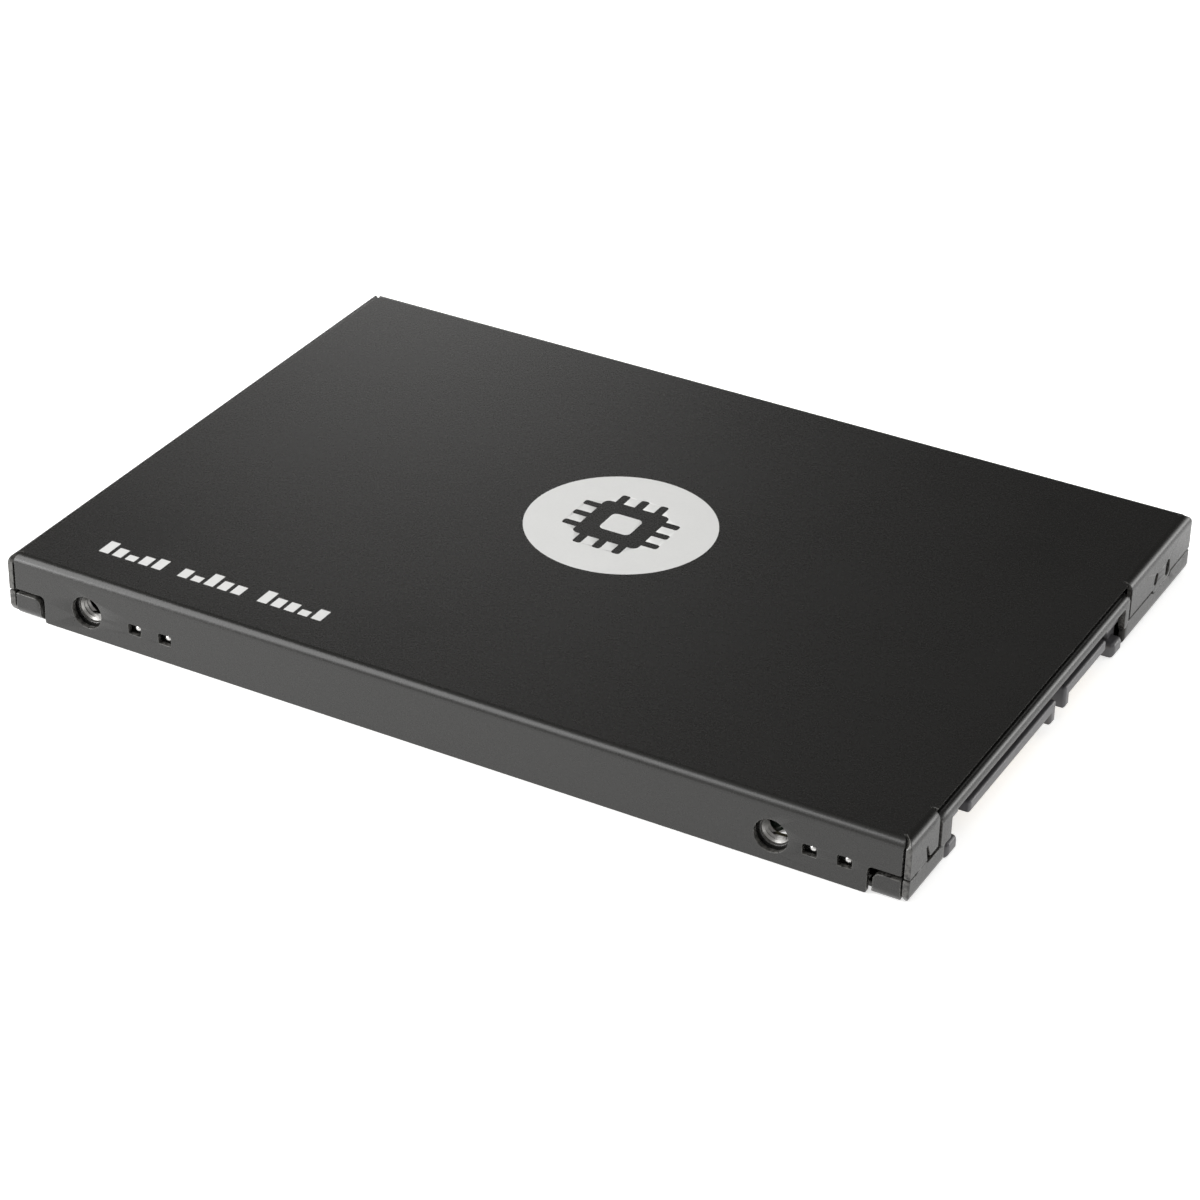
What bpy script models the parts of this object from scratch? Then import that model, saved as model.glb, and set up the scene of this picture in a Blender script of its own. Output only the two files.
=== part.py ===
"""A 2.5-inch solid state drive, 7 mm high, as the pieces it comes apart into.

The frame: the origin is the middle of the underside, +X points out of the connector end,
+Y is across the drive, with the power contacts on the -Y side, and +Z is up.
"""
import math

import bmesh
import bpy
from mathutils import Matrix

MM = 0.001

# Case, as the 2.5-inch form factor sets it.
CASE_LENGTH = 100.2 * MM
CASE_WIDTH = 69.85 * MM
CASE_HEIGHT = 7.0 * MM
GAP = 0.3 * MM
OVERCUT = 2.0 * MM
WELD = 0.001 * MM
END_X = CASE_LENGTH / 2
SIDE_Y = CASE_WIDTH / 2

# Top cover: pressed sheet that wraps over the sides and down both ends.
TOP_SHEET = 0.6 * MM
TOP_BEND = 1.0 * MM
TOP_LIP_Z = 0.15 * MM
SEAM_Z = 2.95 * MM
BEND_STEPS = 5
CORNER_STEPS = 4
MITRE_SLIT = 0.2 * MM
MITRE_REACH = 1.6 * MM
MITRE_OFFSET = 0.27 * MM
MITRE_TOP_Z = 6.07 * MM

# Bottom cover: pressed sheet tray, its side walls standing inside the top cover.
TRAY_SHEET = 0.7 * MM
TRAY_BEND = 1.2 * MM
TRAY_LIP_Z = SEAM_Z - GAP
TRAY_SIDE_Y = SIDE_Y - TOP_SHEET - GAP
TRAY_FLOOR_Y = TRAY_SIDE_Y - 0.3 * MM
TRAY_SIDE_Z = (0.12 * MM, 5.6 * MM)
TRAY_SIDE_REACH = 44.8 * MM

# Corner tabs of the tray, flush with the top cover's sides.
FRONT_TAB = 3.65 * MM
REAR_TAB = 3.8 * MM
NOTCH_GAP = 0.55 * MM
NOTCH_TOP_Z = 3.15 * MM
TAB_CORNER = 0.5 * MM

# M3 fixing holes: distances from the connector end, and places in the other two directions.
HOLE_STATIONS = (14.0 * MM, 90.6 * MM)
SIDE_HOLE_Z = 3.0 * MM
BOTTOM_HOLE_Y = 30.86 * MM
CLEARANCE_RADIUS = 1.77 * MM
THREAD_RADIUS = 1.25 * MM
SIDE_COLLAR_RADIUS = 2.2 * MM
SIDE_COLLAR_Y = 32.4 * MM
BOTTOM_COLLAR_RADIUS = 2.1 * MM
BOTTOM_COLLAR_TOP = 2.0 * MM
ROUND_SIDES = 32

# Snap windows in the top cover's sides, and the tray's nubs in them.
WINDOW_STATIONS = (6.5 * MM, 10.05 * MM, 81.2 * MM, 84.8 * MM)
WINDOW_SIZE = (1.5 * MM, 0.95 * MM)
WINDOW_Z = 2.75 * MM
NUB_SIZE = (0.8 * MM, 0.45 * MM)
NUB_Y = 34.6 * MM
NUB_SHIFT = 0.1 * MM

# Connector end of the case: flaps of the top cover, and the tray's frame between them.
FLAP_GAP_Y = (-28.4 * MM, 18.2 * MM)
MOUTH_X = 49.3 * MM
MOUTH_TOP_Z = 6.25 * MM
PLATE_EDGE_X = 49.8 * MM
FRAME_Y = (-28.1 * MM, 17.9 * MM)
FRAME_TOP_Z = 5.9 * MM
FRAME_BEND = 0.8 * MM
FLANGE_X = 47.9 * MM
WINDOW_WIDE_Y = (-27.1 * MM, 17.3 * MM)
WINDOW_WIDE_Z = 2.3 * MM
WINDOW_HIGH_Y = (-26.1 * MM, 16.8 * MM)
WINDOW_HIGH_Z = 4.75 * MM
BAY_X = 44.2 * MM
CATCH_Y = (25.4 * MM, 28.6 * MM)
CATCH_TIP_Z = 2.4 * MM
CATCH_SLIT = 0.35 * MM
CATCH_SLIT_TOP = 4.6 * MM
SPRING_SLIT_Y = -31.4 * MM

# Connector: one plastic plug with a power blade and a signal blade between two guide arms.
PLUG_CENTRE_Y = -4.8 * MM
PLUG_HALF = 21.8 * MM
PLUG_FRONT_X = END_X
BLADE_ROOT_X = 44.6 * MM
BLOCK_X = 41.3 * MM
BLOCK_Z = (1.2 * MM, 4.4 * MM)
BLADE_Z = (2.5 * MM, 3.73 * MM)
POWER_BLADE_Y = (-21.5 * MM, -0.93 * MM)
SIGNAL_BLADE_Y = (1.48 * MM, 11.89 * MM)
KEY_WIDTH = 1.1 * MM
KEY_TIP_Z = 1.33 * MM
ARM_WIDTH = 1.8 * MM
ARM_Z = (0.15 * MM, 3.75 * MM)
WEB_FRONT_X = 49.0 * MM
FOOT_REACH = 2.9 * MM
FOOT_TOP_Z = 1.5 * MM
LIP_REACH = 3.6 * MM
LIP_Z = 3.4 * MM
LIP_OUTSET = 0.5 * MM
LIP_FRONT_X = 49.5 * MM
FOOT_ROUND = 0.4 * MM
EAR_X = 37.4 * MM
EAR_WIDTH = 4.0 * MM

# Contacts.
PITCH = 1.27 * MM
POWER_COUNT = 15
SIGNAL_COUNT = 7
CONTACT_WIDTH = 0.6 * MM
CONTACT_SHEET = 0.15 * MM
GROOVE_WIDTH = 0.9 * MM
GROOVE_Z = (2.2 * MM, 2.95 * MM)
GROOVE_FRONT_X = 49.7 * MM
CONTACT_TIP_X = 49.4 * MM
TAIL_X = (38.2 * MM, 40.4 * MM)
TAIL_RISE = 0.6 * MM

# Circuit board and what stands on it.
BOARD_X = (-8.0 * MM, 40.0 * MM)
BOARD_HALF_Y = 31.5 * MM
BOARD_Z = (2.3 * MM, 3.3 * MM)
BOARD_CORNER = 1.5 * MM
PART_Z = BOARD_Z[1] + GAP
SCREW_PLACES = ((30.0 * MM, -28.5 * MM), (30.0 * MM, 28.5 * MM),
                (-4.6 * MM, -28.2 * MM), (-4.6 * MM, 28.2 * MM))
BOSS_RADIUS = 2.0 * MM
BOSS_BORE = 1.05 * MM
SCREW_SHANK = 0.7 * MM
SCREW_HEAD = 1.8 * MM
SCREW_HEAD_HEIGHT = 0.9 * MM
SCREW_TIP_Z = 1.0 * MM
SCREW_HOLE = 1.2 * MM
RECESS_RADIUS = 0.75 * MM
RECESS_DEPTH = 0.5 * MM
LOCK_X = 39.1 * MM
LOCK_SHANK = 0.5 * MM
LOCK_HOLE = 0.85 * MM
LOCK_HEAD = 1.2 * MM
LOCK_HEAD_HEIGHT = 0.3 * MM
LOCK_TIP_Z = 1.6 * MM
LOCK_SIDES = 20

SHEET_X = (-2.0 * MM, 37.0 * MM)
SHEET_HALF_Y = 25.5 * MM
SHEET_Z = (1.0 * MM, 1.2 * MM)

FLASH_SIZE = (14.0 * MM, 18.0 * MM, 1.1 * MM)
FLASH_PLACES = ((4.6 * MM, 20.4 * MM), (4.6 * MM, 0.4 * MM),
                (4.6 * MM, -19.6 * MM), (20.2 * MM, 20.4 * MM))
CONTROLLER_SIZE = (12.0 * MM, 12.0 * MM, 1.0 * MM)
CONTROLLER_PLACE = (19.6 * MM, 1.2 * MM)
PAD_SIZE = (11.0 * MM, 11.0 * MM, 1.2 * MM)
REGULATOR_SIZE = (5.0 * MM, 5.0 * MM, 0.9 * MM)
REGULATOR_PLACE = (29.0 * MM, -17.0 * MM)
INDUCTOR_SIZE = (4.0 * MM, 4.0 * MM, 1.8 * MM)
INDUCTOR_PLACES = ((22.4 * MM, -20.4 * MM), (22.4 * MM, -13.6 * MM))
CRYSTAL_SIZE = (3.2 * MM, 2.5 * MM, 0.8 * MM)
CRYSTAL_PLACE = (30.4 * MM, 3.4 * MM)
CAPACITOR_SIZE = (3.5 * MM, 2.8 * MM, 1.9 * MM)
CAPACITOR_X = 35.2 * MM
CAPACITOR_FIRST_Y = -20.5 * MM
CAPACITOR_STEP = 4.6 * MM
CAPACITOR_COUNT = 6

# Eased edges of the blocks on the board.
CHIP_EDGE = 0.1 * MM
CAPACITOR_EDGE = 0.15 * MM
CAN_EDGE = 0.2 * MM
INDUCTOR_EDGE = 0.4 * MM
BLOCK_EDGE_STEPS = 2

# Turns that stand a flat outline up so that it faces along X or along Y.
FACING_X = (math.pi / 2, 0.0, math.pi / 2)
FACING_Y = (math.pi / 2, 0.0, 0.0)

# Finishes: base colour, roughness, metallic.
FINISHES = {
    "black_painted_sheet": ((0.035, 0.036, 0.034), 0.42, 0.55),
    "black_plug_plastic": ((0.022, 0.022, 0.024), 0.45, 0.0),
    "gold_contact": ((0.83, 0.62, 0.26), 0.25, 1.0),
    "tinned_steel": ((0.62, 0.62, 0.60), 0.30, 1.0),
    "board_laminate": ((0.012, 0.075, 0.040), 0.35, 0.0),
    "chip_epoxy": ((0.022, 0.022, 0.023), 0.55, 0.0),
    "ferrite": ((0.060, 0.060, 0.062), 0.60, 0.0),
    "capacitor_case": ((0.42, 0.24, 0.07), 0.50, 0.0),
    "thermal_gel_pad": ((0.30, 0.36, 0.42), 0.85, 0.0),
    "clear_film": ((0.55, 0.50, 0.38), 0.30, 0.0),
}


def clear_scene():
    """Remove every object that the file opened with."""
    for item in list(bpy.data.objects):
        bpy.data.objects.remove(item, do_unlink=True)


def make_collection(name):
    """Return a new collection, linked to the scene."""
    collection = bpy.data.collections.new(name)
    bpy.context.scene.collection.children.link(collection)
    return collection


def make_finish(name):
    """Return a Principled material with the named finish."""
    colour, roughness, metallic = FINISHES[name]
    material = bpy.data.materials.new(name)
    material.use_nodes = True
    shader = material.node_tree.nodes["Principled BSDF"]
    shader.inputs["Base Color"].default_value = (*colour, 1.0)
    shader.inputs["Roughness"].default_value = roughness
    shader.inputs["Metallic"].default_value = metallic
    material.diffuse_color = (*colour, 1.0)
    return material


def box_mesh(name, size):
    """Return a mesh box of the given size, centred on its own origin."""
    mesh = bpy.data.meshes.new(name)
    shape = bmesh.new()
    bmesh.ops.create_cube(shape, size=1.0, matrix=Matrix.Diagonal((*size, 1.0)))
    shape.to_mesh(mesh)
    shape.free()
    return mesh


def rod_mesh(name, radius, length, sides=ROUND_SIDES):
    """Return a closed upright cylinder, centred on its own origin."""
    mesh = bpy.data.meshes.new(name)
    shape = bmesh.new()
    bmesh.ops.create_cone(shape, cap_ends=True, segments=sides,
                          radius1=radius, radius2=radius, depth=length)
    shape.to_mesh(mesh)
    shape.free()
    return mesh


def outline_mesh(name, outline, depth):
    """Return a flat outline, drawn in its own XY plane, as a closed plate of the given depth."""
    curve = bpy.data.curves.new(name, "CURVE")
    curve.dimensions = "2D"
    curve.fill_mode = "BOTH"
    curve.extrude = depth / 2
    spline = curve.splines.new("POLY")
    spline.points.add(len(outline) - 1)
    for point, (across, up) in zip(spline.points, outline):
        point.co = (across, up, 0.0, 1.0)
    spline.use_cyclic_u = True
    drawn = bpy.data.objects.new(name, curve)
    bpy.context.scene.collection.objects.link(drawn)
    graph = bpy.context.evaluated_depsgraph_get()
    mesh = bpy.data.meshes.new_from_object(drawn.evaluated_get(graph))
    bpy.data.objects.remove(drawn, do_unlink=True)
    bpy.data.curves.remove(curve)
    shape = bmesh.new()
    shape.from_mesh(mesh)
    bmesh.ops.remove_doubles(shape, verts=shape.verts, dist=WELD)
    shape.to_mesh(mesh)
    shape.free()
    return mesh


def bevel_edges(mesh, wanted, width, steps):
    """Round the mesh edges for which wanted(edge) is true."""
    shape = bmesh.new()
    shape.from_mesh(mesh)
    chosen = [edge for edge in shape.edges if wanted(edge)]
    bmesh.ops.bevel(shape, geom=chosen, offset=width, segments=steps,
                    profile=0.5, affect="EDGES", clamp_overlap=True)
    shape.to_mesh(mesh)
    shape.free()


def runs_along(edge, axis):
    """Tell whether a mesh edge is parallel to the given axis number."""
    return abs((edge.verts[0].co - edge.verts[1].co).normalized()[axis]) > 0.99


def on_side(edge, axis, sign):
    """Tell whether a mesh edge lies on the positive or negative side of an axis."""
    return all(vertex.co[axis] * sign > 0 for vertex in edge.verts)


class Workshop:
    """Places objects in the parts and cutters collections, under one empty."""

    def __init__(self):
        """Make the two collections, the finishes and the parent empty."""
        self.parts = make_collection("solid_state_drive")
        self.cutters = make_collection("cutters")
        self.finishes = {name: make_finish(name) for name in FINISHES}
        self.origin = bpy.data.objects.new("drive_origin", None)
        self.parts.objects.link(self.origin)

    def part(self, name, mesh, place, finish):
        """Place a mesh as a named sub-part with a finish of its own."""
        item = bpy.data.objects.new(name, mesh)
        item.location = place
        item.parent = self.origin
        self.parts.objects.link(item)
        if not mesh.materials:
            mesh.materials.append(self.finishes[finish])
        return item

    def tool(self, name, mesh, place, turn=(0.0, 0.0, 0.0)):
        """Place a mesh as a cutter or a shape to be joined on."""
        item = bpy.data.objects.new(name, mesh)
        item.location = place
        item.rotation_euler = turn
        item.hide_render = True
        item.display_type = "WIRE"
        self.cutters.objects.link(item)
        return item

    def box_tool(self, name, low, high):
        """Place a box cutter between two corners."""
        size = [b - a for a, b in zip(low, high)]
        middle = [(a + b) / 2 for a, b in zip(low, high)]
        return self.tool(name, box_mesh(name, size), middle)

    def end_outline_tool(self, name, outline, span):
        """Place a cutter whose outline is given in Y and Z, and which spans a stretch of X."""
        mesh = outline_mesh(name, outline, span[1] - span[0])
        return self.tool(name, mesh, (sum(span) / 2, 0.0, 0.0), FACING_X)

    def side_outline_tool(self, name, outline, span):
        """Place a cutter whose outline is given in X and Z, and which spans a stretch of Y."""
        mesh = outline_mesh(name, outline, span[1] - span[0])
        return self.tool(name, mesh, (0.0, sum(span) / 2, 0.0), FACING_Y)

    def rod_tool(self, name, radius, low, high, axis):
        """Place a cylinder cutter between two points on a line along an axis."""
        length = high[axis] - low[axis]
        middle = [(a + b) / 2 for a, b in zip(low, high)]
        turn = {0: (0.0, math.pi / 2, 0.0), 1: (math.pi / 2, 0.0, 0.0), 2: (0.0, 0.0, 0.0)}
        return self.tool(name, rod_mesh(name, radius, length), middle, turn[axis])


def combine(target, tool, operation):
    """Add an exact Boolean of a tool to a part."""
    modifier = target.modifiers.new(f"{operation.lower()} {tool.name}", "BOOLEAN")
    modifier.operation = operation
    modifier.solver = "EXACT"
    modifier.object = tool


def bent_block(name, low, high, bend, side):
    """Return two blocks, each with one pair of edges bent, whose overlap is a folded shell.

    The bent edges are the top ones where side is 1, and the bottom ones where it is -1.
    """
    size = [b - a for a, b in zip(low, high)]
    middle = [(a + b) / 2 for a, b in zip(low, high)]
    blocks = []
    for axis in (0, 1):
        mesh = box_mesh(f"{name}_{axis}", size)
        bevel_edges(mesh, lambda edge: runs_along(edge, axis) and on_side(edge, 2, side),
                    bend, BEND_STEPS)
        blocks.append((mesh, middle))
    return blocks


def from_connector_end(distance):
    """Return the X place that lies a distance in from the connector end."""
    return END_X - distance


def mirrored(span, side):
    """Return a Y span on the given side, lowest first."""
    return tuple(sorted((span[0] * side, span[1] * side)))


def make_top_cover(shop):
    """Fold the top cover: plate, long sides, rear wall and the two flaps by the connector."""
    low = (-END_X, -SIDE_Y, TOP_LIP_Z)
    high = (END_X, SIDE_Y, CASE_HEIGHT)
    outer, crossing = bent_block("top_outer", low, high, TOP_BEND, 1)
    cover = shop.part("top_cover", outer[0], outer[1], "black_painted_sheet")
    combine(cover, shop.tool("top_outer_crossing", *crossing), "INTERSECT")

    inner_low = (-END_X + TOP_SHEET, -SIDE_Y + TOP_SHEET, TOP_LIP_Z - OVERCUT)
    inner_high = (END_X - TOP_SHEET, SIDE_Y - TOP_SHEET, CASE_HEIGHT - TOP_SHEET)
    inner, inner_crossing = bent_block("top_inner", inner_low, inner_high,
                                       TOP_BEND - TOP_SHEET, 1)
    hollow = shop.tool("top_hollow", *inner)
    combine(hollow, shop.tool("top_inner_crossing", *inner_crossing), "INTERSECT")
    combine(cover, hollow, "DIFFERENCE")

    trim_ends(shop, cover)
    for side in (-1, 1):
        cut_side(shop, cover, side)
    return cover


def trim_ends(shop, cover):
    """Open the middle of the connector end, and shorten both end walls to the seam."""
    top = CASE_HEIGHT + OVERCUT
    front = END_X + OVERCUT
    outline = ((MOUTH_X, -OVERCUT), (front, -OVERCUT), (front, top), (PLATE_EDGE_X, top),
               (PLATE_EDGE_X, MOUTH_TOP_Z), (MOUTH_X, MOUTH_TOP_Z))
    combine(cover, shop.side_outline_tool("connector_mouth", outline, FLAP_GAP_Y), "DIFFERENCE")
    reach = SIDE_Y + OVERCUT
    rear = (-END_X - OVERCUT, -END_X + TOP_SHEET + GAP)
    combine(cover, shop.box_tool("rear_seam", (rear[0], -reach, -OVERCUT),
                                 (rear[1], reach, SEAM_Z)), "DIFFERENCE")
    half = CATCH_SLIT / 2
    edge = [(-reach, SEAM_Z)]
    edge += slit_points(SPRING_SLIT_Y - half, SPRING_SLIT_Y + half, SEAM_Z, SEAM_Z)
    edge += slit_points(CATCH_Y[0] - CATCH_SLIT, CATCH_Y[0], SEAM_Z, CATCH_TIP_Z)
    edge += slit_points(CATCH_Y[1], CATCH_Y[1] + CATCH_SLIT, CATCH_TIP_Z, SEAM_Z)
    edge += [(reach, SEAM_Z), (reach, -OVERCUT), (-reach, -OVERCUT)]
    span = (END_X - TOP_SHEET - GAP, END_X + OVERCUT)
    combine(cover, shop.end_outline_tool("front_seam", edge, span), "DIFFERENCE")


def slit_points(low_y, high_y, before_z, after_z):
    """Return the outline points of one slit that runs up from the flap's lower edge."""
    return [(low_y, before_z), (low_y, CATCH_SLIT_TOP), (high_y, CATCH_SLIT_TOP),
            (high_y, after_z)]


def cut_side(shop, cover, side):
    """Cut one long side: corner notches, screw clearance holes, snap windows, mitres."""
    through = mirrored((SIDE_Y - TOP_SHEET - GAP, SIDE_Y + OVERCUT), side)
    for sign, tab in ((1, FRONT_TAB), (-1, REAR_TAB)):
        span = sorted((sign * (END_X - tab - NOTCH_GAP), sign * (END_X + OVERCUT)))
        size = (span[1] - span[0], through[1] - through[0], NOTCH_TOP_Z + OVERCUT)
        mesh = box_mesh(f"notch_{side}_{sign}", size)
        bevel_edges(mesh, lambda edge: runs_along(edge, 1) and on_side(edge, 2, 1)
                    and on_side(edge, 0, -sign), TAB_CORNER, CORNER_STEPS)
        place = (sum(span) / 2, sum(through) / 2, (NOTCH_TOP_Z - OVERCUT) / 2)
        combine(cover, shop.tool(f"notch_{side}_{sign}", mesh, place), "DIFFERENCE")
        cut_mitre(shop, cover, side, sign)
    for number, station in enumerate(HOLE_STATIONS):
        x = from_connector_end(station)
        hole = shop.rod_tool(f"side_clearance_{side}_{number}", CLEARANCE_RADIUS,
                             (x, through[0], SIDE_HOLE_Z), (x, through[1], SIDE_HOLE_Z), 1)
        combine(cover, hole, "DIFFERENCE")
    for number, station in enumerate(WINDOW_STATIONS):
        x = from_connector_end(station)
        window = shop.box_tool(f"snap_window_{side}_{number}",
                               (x - WINDOW_SIZE[0] / 2, through[0], WINDOW_Z - WINDOW_SIZE[1] / 2),
                               (x + WINDOW_SIZE[0] / 2, through[1], WINDOW_Z + WINDOW_SIZE[1] / 2))
        combine(cover, window, "DIFFERENCE")


def cut_mitre(shop, cover, side, sign):
    """Open the folded corner with a slanting slit from the notch up to the bend."""
    height = MITRE_TOP_Z - SEAM_Z + OVERCUT
    mesh = box_mesh(f"mitre_{side}_{sign}", (MITRE_SLIT, MITRE_REACH * 2, height))
    place = (sign * (END_X - MITRE_OFFSET), side * SIDE_Y, MITRE_TOP_Z - height / 2)
    turn = (0.0, 0.0, -side * sign * math.pi / 4)
    combine(cover, shop.tool(f"mitre_{side}_{sign}", mesh, place, turn), "DIFFERENCE")


def make_bottom_cover(shop):
    """Fold the tray: floor, end walls, corner tabs, side walls and connector frame."""
    low = (-END_X, -SIDE_Y, 0.0)
    high = (END_X, SIDE_Y, FRAME_TOP_Z)
    outer, crossing = bent_block("tray_outer", low, high, TRAY_BEND, -1)
    bevel_edges(crossing[0], lambda edge: runs_along(edge, 1) and on_side(edge, 2, 1)
                and on_side(edge, 0, 1), FRAME_BEND, BEND_STEPS)
    tray = shop.part("bottom_cover", outer[0], outer[1], "black_painted_sheet")
    combine(tray, shop.tool("tray_outer_crossing", *crossing), "INTERSECT")

    inner_low = (-END_X + TRAY_SHEET, -SIDE_Y + TRAY_SHEET, TRAY_SHEET)
    inner_high = (END_X - TRAY_SHEET, SIDE_Y - TRAY_SHEET, FRAME_TOP_Z - TRAY_SHEET)
    inner, inner_crossing = bent_block("tray_inner", inner_low, inner_high,
                                       TRAY_BEND - TRAY_SHEET, -1)
    hollow = shop.tool("tray_hollow", *inner)
    combine(hollow, shop.tool("tray_inner_crossing", *inner_crossing), "INTERSECT")
    combine(tray, hollow, "DIFFERENCE")

    trim_tray(shop, tray)
    for side in (-1, 1):
        add_tray_side(shop, tray, side)
    add_bosses(shop, tray)
    return tray


def trim_tray(shop, tray):
    """Open the tray's top and long sides, and cut its end walls and connector window."""
    top = FRAME_TOP_Z + OVERCUT
    reach = SIDE_Y + OVERCUT
    lid = shop.box_tool("tray_lid", (-END_X - OVERCUT, -reach, FRAME_TOP_Z - OVERCUT / 2),
                        (FLANGE_X, reach, top))
    combine(tray, lid, "DIFFERENCE")
    for side in (-1, 1):
        strip = mirrored((TRAY_FLOOR_Y, SIDE_Y + OVERCUT), side)
        cut = shop.box_tool(f"side_strip_{side}", (-END_X + REAR_TAB, strip[0], -OVERCUT),
                            (END_X - FRONT_TAB, strip[1], top))
        combine(tray, cut, "DIFFERENCE")
    corner = FRONT_TAB + OVERCUT
    rear = shop.box_tool("rear_lip", (-END_X - OVERCUT, -reach, TRAY_LIP_Z),
                         (-END_X + corner, reach, top + OVERCUT))
    combine(tray, rear, "DIFFERENCE")
    near = shop.box_tool("near_lip", (END_X - corner, -reach, TRAY_LIP_Z),
                         (END_X + OVERCUT, FRAME_Y[0], top + OVERCUT))
    combine(tray, near, "DIFFERENCE")
    rest_z = CATCH_TIP_Z - GAP
    outline = ((FRAME_Y[1], TRAY_LIP_Z), (CATCH_Y[0] - GAP, TRAY_LIP_Z), (CATCH_Y[0] - GAP, rest_z),
               (CATCH_Y[1] + GAP, rest_z), (CATCH_Y[1] + GAP, TRAY_LIP_Z), (reach, TRAY_LIP_Z),
               (reach, top + OVERCUT), (FRAME_Y[1], top + OVERCUT))
    far = shop.end_outline_tool("far_lip", outline, (END_X - corner, END_X + OVERCUT))
    combine(tray, far, "DIFFERENCE")
    low_y, high_y = WINDOW_WIDE_Y
    left, right = WINDOW_HIGH_Y
    window = ((low_y, -OVERCUT), (high_y, -OVERCUT), (high_y, WINDOW_WIDE_Z),
              (right, WINDOW_WIDE_Z), (right, WINDOW_HIGH_Z), (left, WINDOW_HIGH_Z),
              (left, WINDOW_WIDE_Z), (low_y, WINDOW_WIDE_Z))
    bay = shop.end_outline_tool("connector_bay", window, (BAY_X, END_X + OVERCUT))
    combine(tray, bay, "DIFFERENCE")


def add_tray_side(shop, tray, side):
    """Stand one side wall, with its threaded collars and snap nubs, inside the top cover."""
    wall = mirrored((TRAY_SIDE_Y - TRAY_SHEET, TRAY_SIDE_Y), side)
    panel = shop.box_tool(f"tray_side_{side}", (-TRAY_SIDE_REACH, wall[0], TRAY_SIDE_Z[0]),
                          (TRAY_SIDE_REACH, wall[1], TRAY_SIDE_Z[1]))
    combine(tray, panel, "UNION")
    for number, station in enumerate(HOLE_STATIONS):
        x = from_connector_end(station)
        inward = mirrored((SIDE_COLLAR_Y, TRAY_SIDE_Y - TRAY_SHEET / 2), side)
        collar = shop.rod_tool(f"side_collar_{side}_{number}", SIDE_COLLAR_RADIUS,
                               (x, inward[0], SIDE_HOLE_Z), (x, inward[1], SIDE_HOLE_Z), 1)
        combine(tray, collar, "UNION")
        y = side * BOTTOM_HOLE_Y
        sleeve = shop.rod_tool(f"bottom_collar_{side}_{number}", BOTTOM_COLLAR_RADIUS,
                               (x, y, TRAY_SHEET / 2), (x, y, BOTTOM_COLLAR_TOP), 2)
        combine(tray, sleeve, "UNION")
    for number, station in enumerate(WINDOW_STATIONS):
        x = from_connector_end(station) + NUB_SHIFT
        out = mirrored((TRAY_SIDE_Y - TRAY_SHEET / 2, NUB_Y), side)
        nub = shop.box_tool(f"snap_nub_{side}_{number}",
                            (x - NUB_SIZE[0] / 2, out[0], WINDOW_Z - NUB_SIZE[1] / 2),
                            (x + NUB_SIZE[0] / 2, out[1], WINDOW_Z + NUB_SIZE[1] / 2))
        combine(tray, nub, "UNION")
    for number, station in enumerate(HOLE_STATIONS):
        x = from_connector_end(station)
        out = mirrored((SIDE_COLLAR_Y - GAP, SIDE_Y), side)
        thread = shop.rod_tool(f"side_thread_{side}_{number}", THREAD_RADIUS,
                               (x, out[0], SIDE_HOLE_Z), (x, out[1], SIDE_HOLE_Z), 1)
        combine(tray, thread, "DIFFERENCE")
        y = side * BOTTOM_HOLE_Y
        bore = shop.rod_tool(f"bottom_thread_{side}_{number}", THREAD_RADIUS,
                             (x, y, -OVERCUT), (x, y, BOTTOM_COLLAR_TOP + OVERCUT), 2)
        combine(tray, bore, "DIFFERENCE")


def add_bosses(shop, tray):
    """Raise the four bosses that the board's screws go into."""
    for number, (x, y) in enumerate(SCREW_PLACES):
        boss = shop.rod_tool(f"boss_{number}", BOSS_RADIUS, (x, y, TRAY_SHEET / 2),
                             (x, y, BOARD_Z[0] - GAP), 2)
        combine(tray, boss, "UNION")
        bore = shop.rod_tool(f"boss_bore_{number}", BOSS_BORE, (x, y, TRAY_SHEET),
                             (x, y, BOARD_Z[0] + OVERCUT), 2)
        combine(tray, bore, "DIFFERENCE")


def contact_places(blade, count, key_at_low_end):
    """Return the contacts' Y places along the part of a blade that is clear of its key."""
    clear = (blade[0] + KEY_WIDTH, blade[1]) if key_at_low_end else (blade[0], blade[1] - KEY_WIDTH)
    middle = sum(clear) / 2
    return [middle + (index - (count - 1) / 2) * PITCH for index in range(count)]


def all_contacts():
    """Return each contact's node name and Y place, numbered away from the keys."""
    power = reversed(contact_places(POWER_BLADE_Y, POWER_COUNT, False))
    signal = contact_places(SIGNAL_BLADE_Y, SIGNAL_COUNT, True)
    named = [(f"power_contact_{index + 1}", y) for index, y in enumerate(power)]
    named += [(f"signal_contact_{index + 1}", y) for index, y in enumerate(signal)]
    return named


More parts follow.
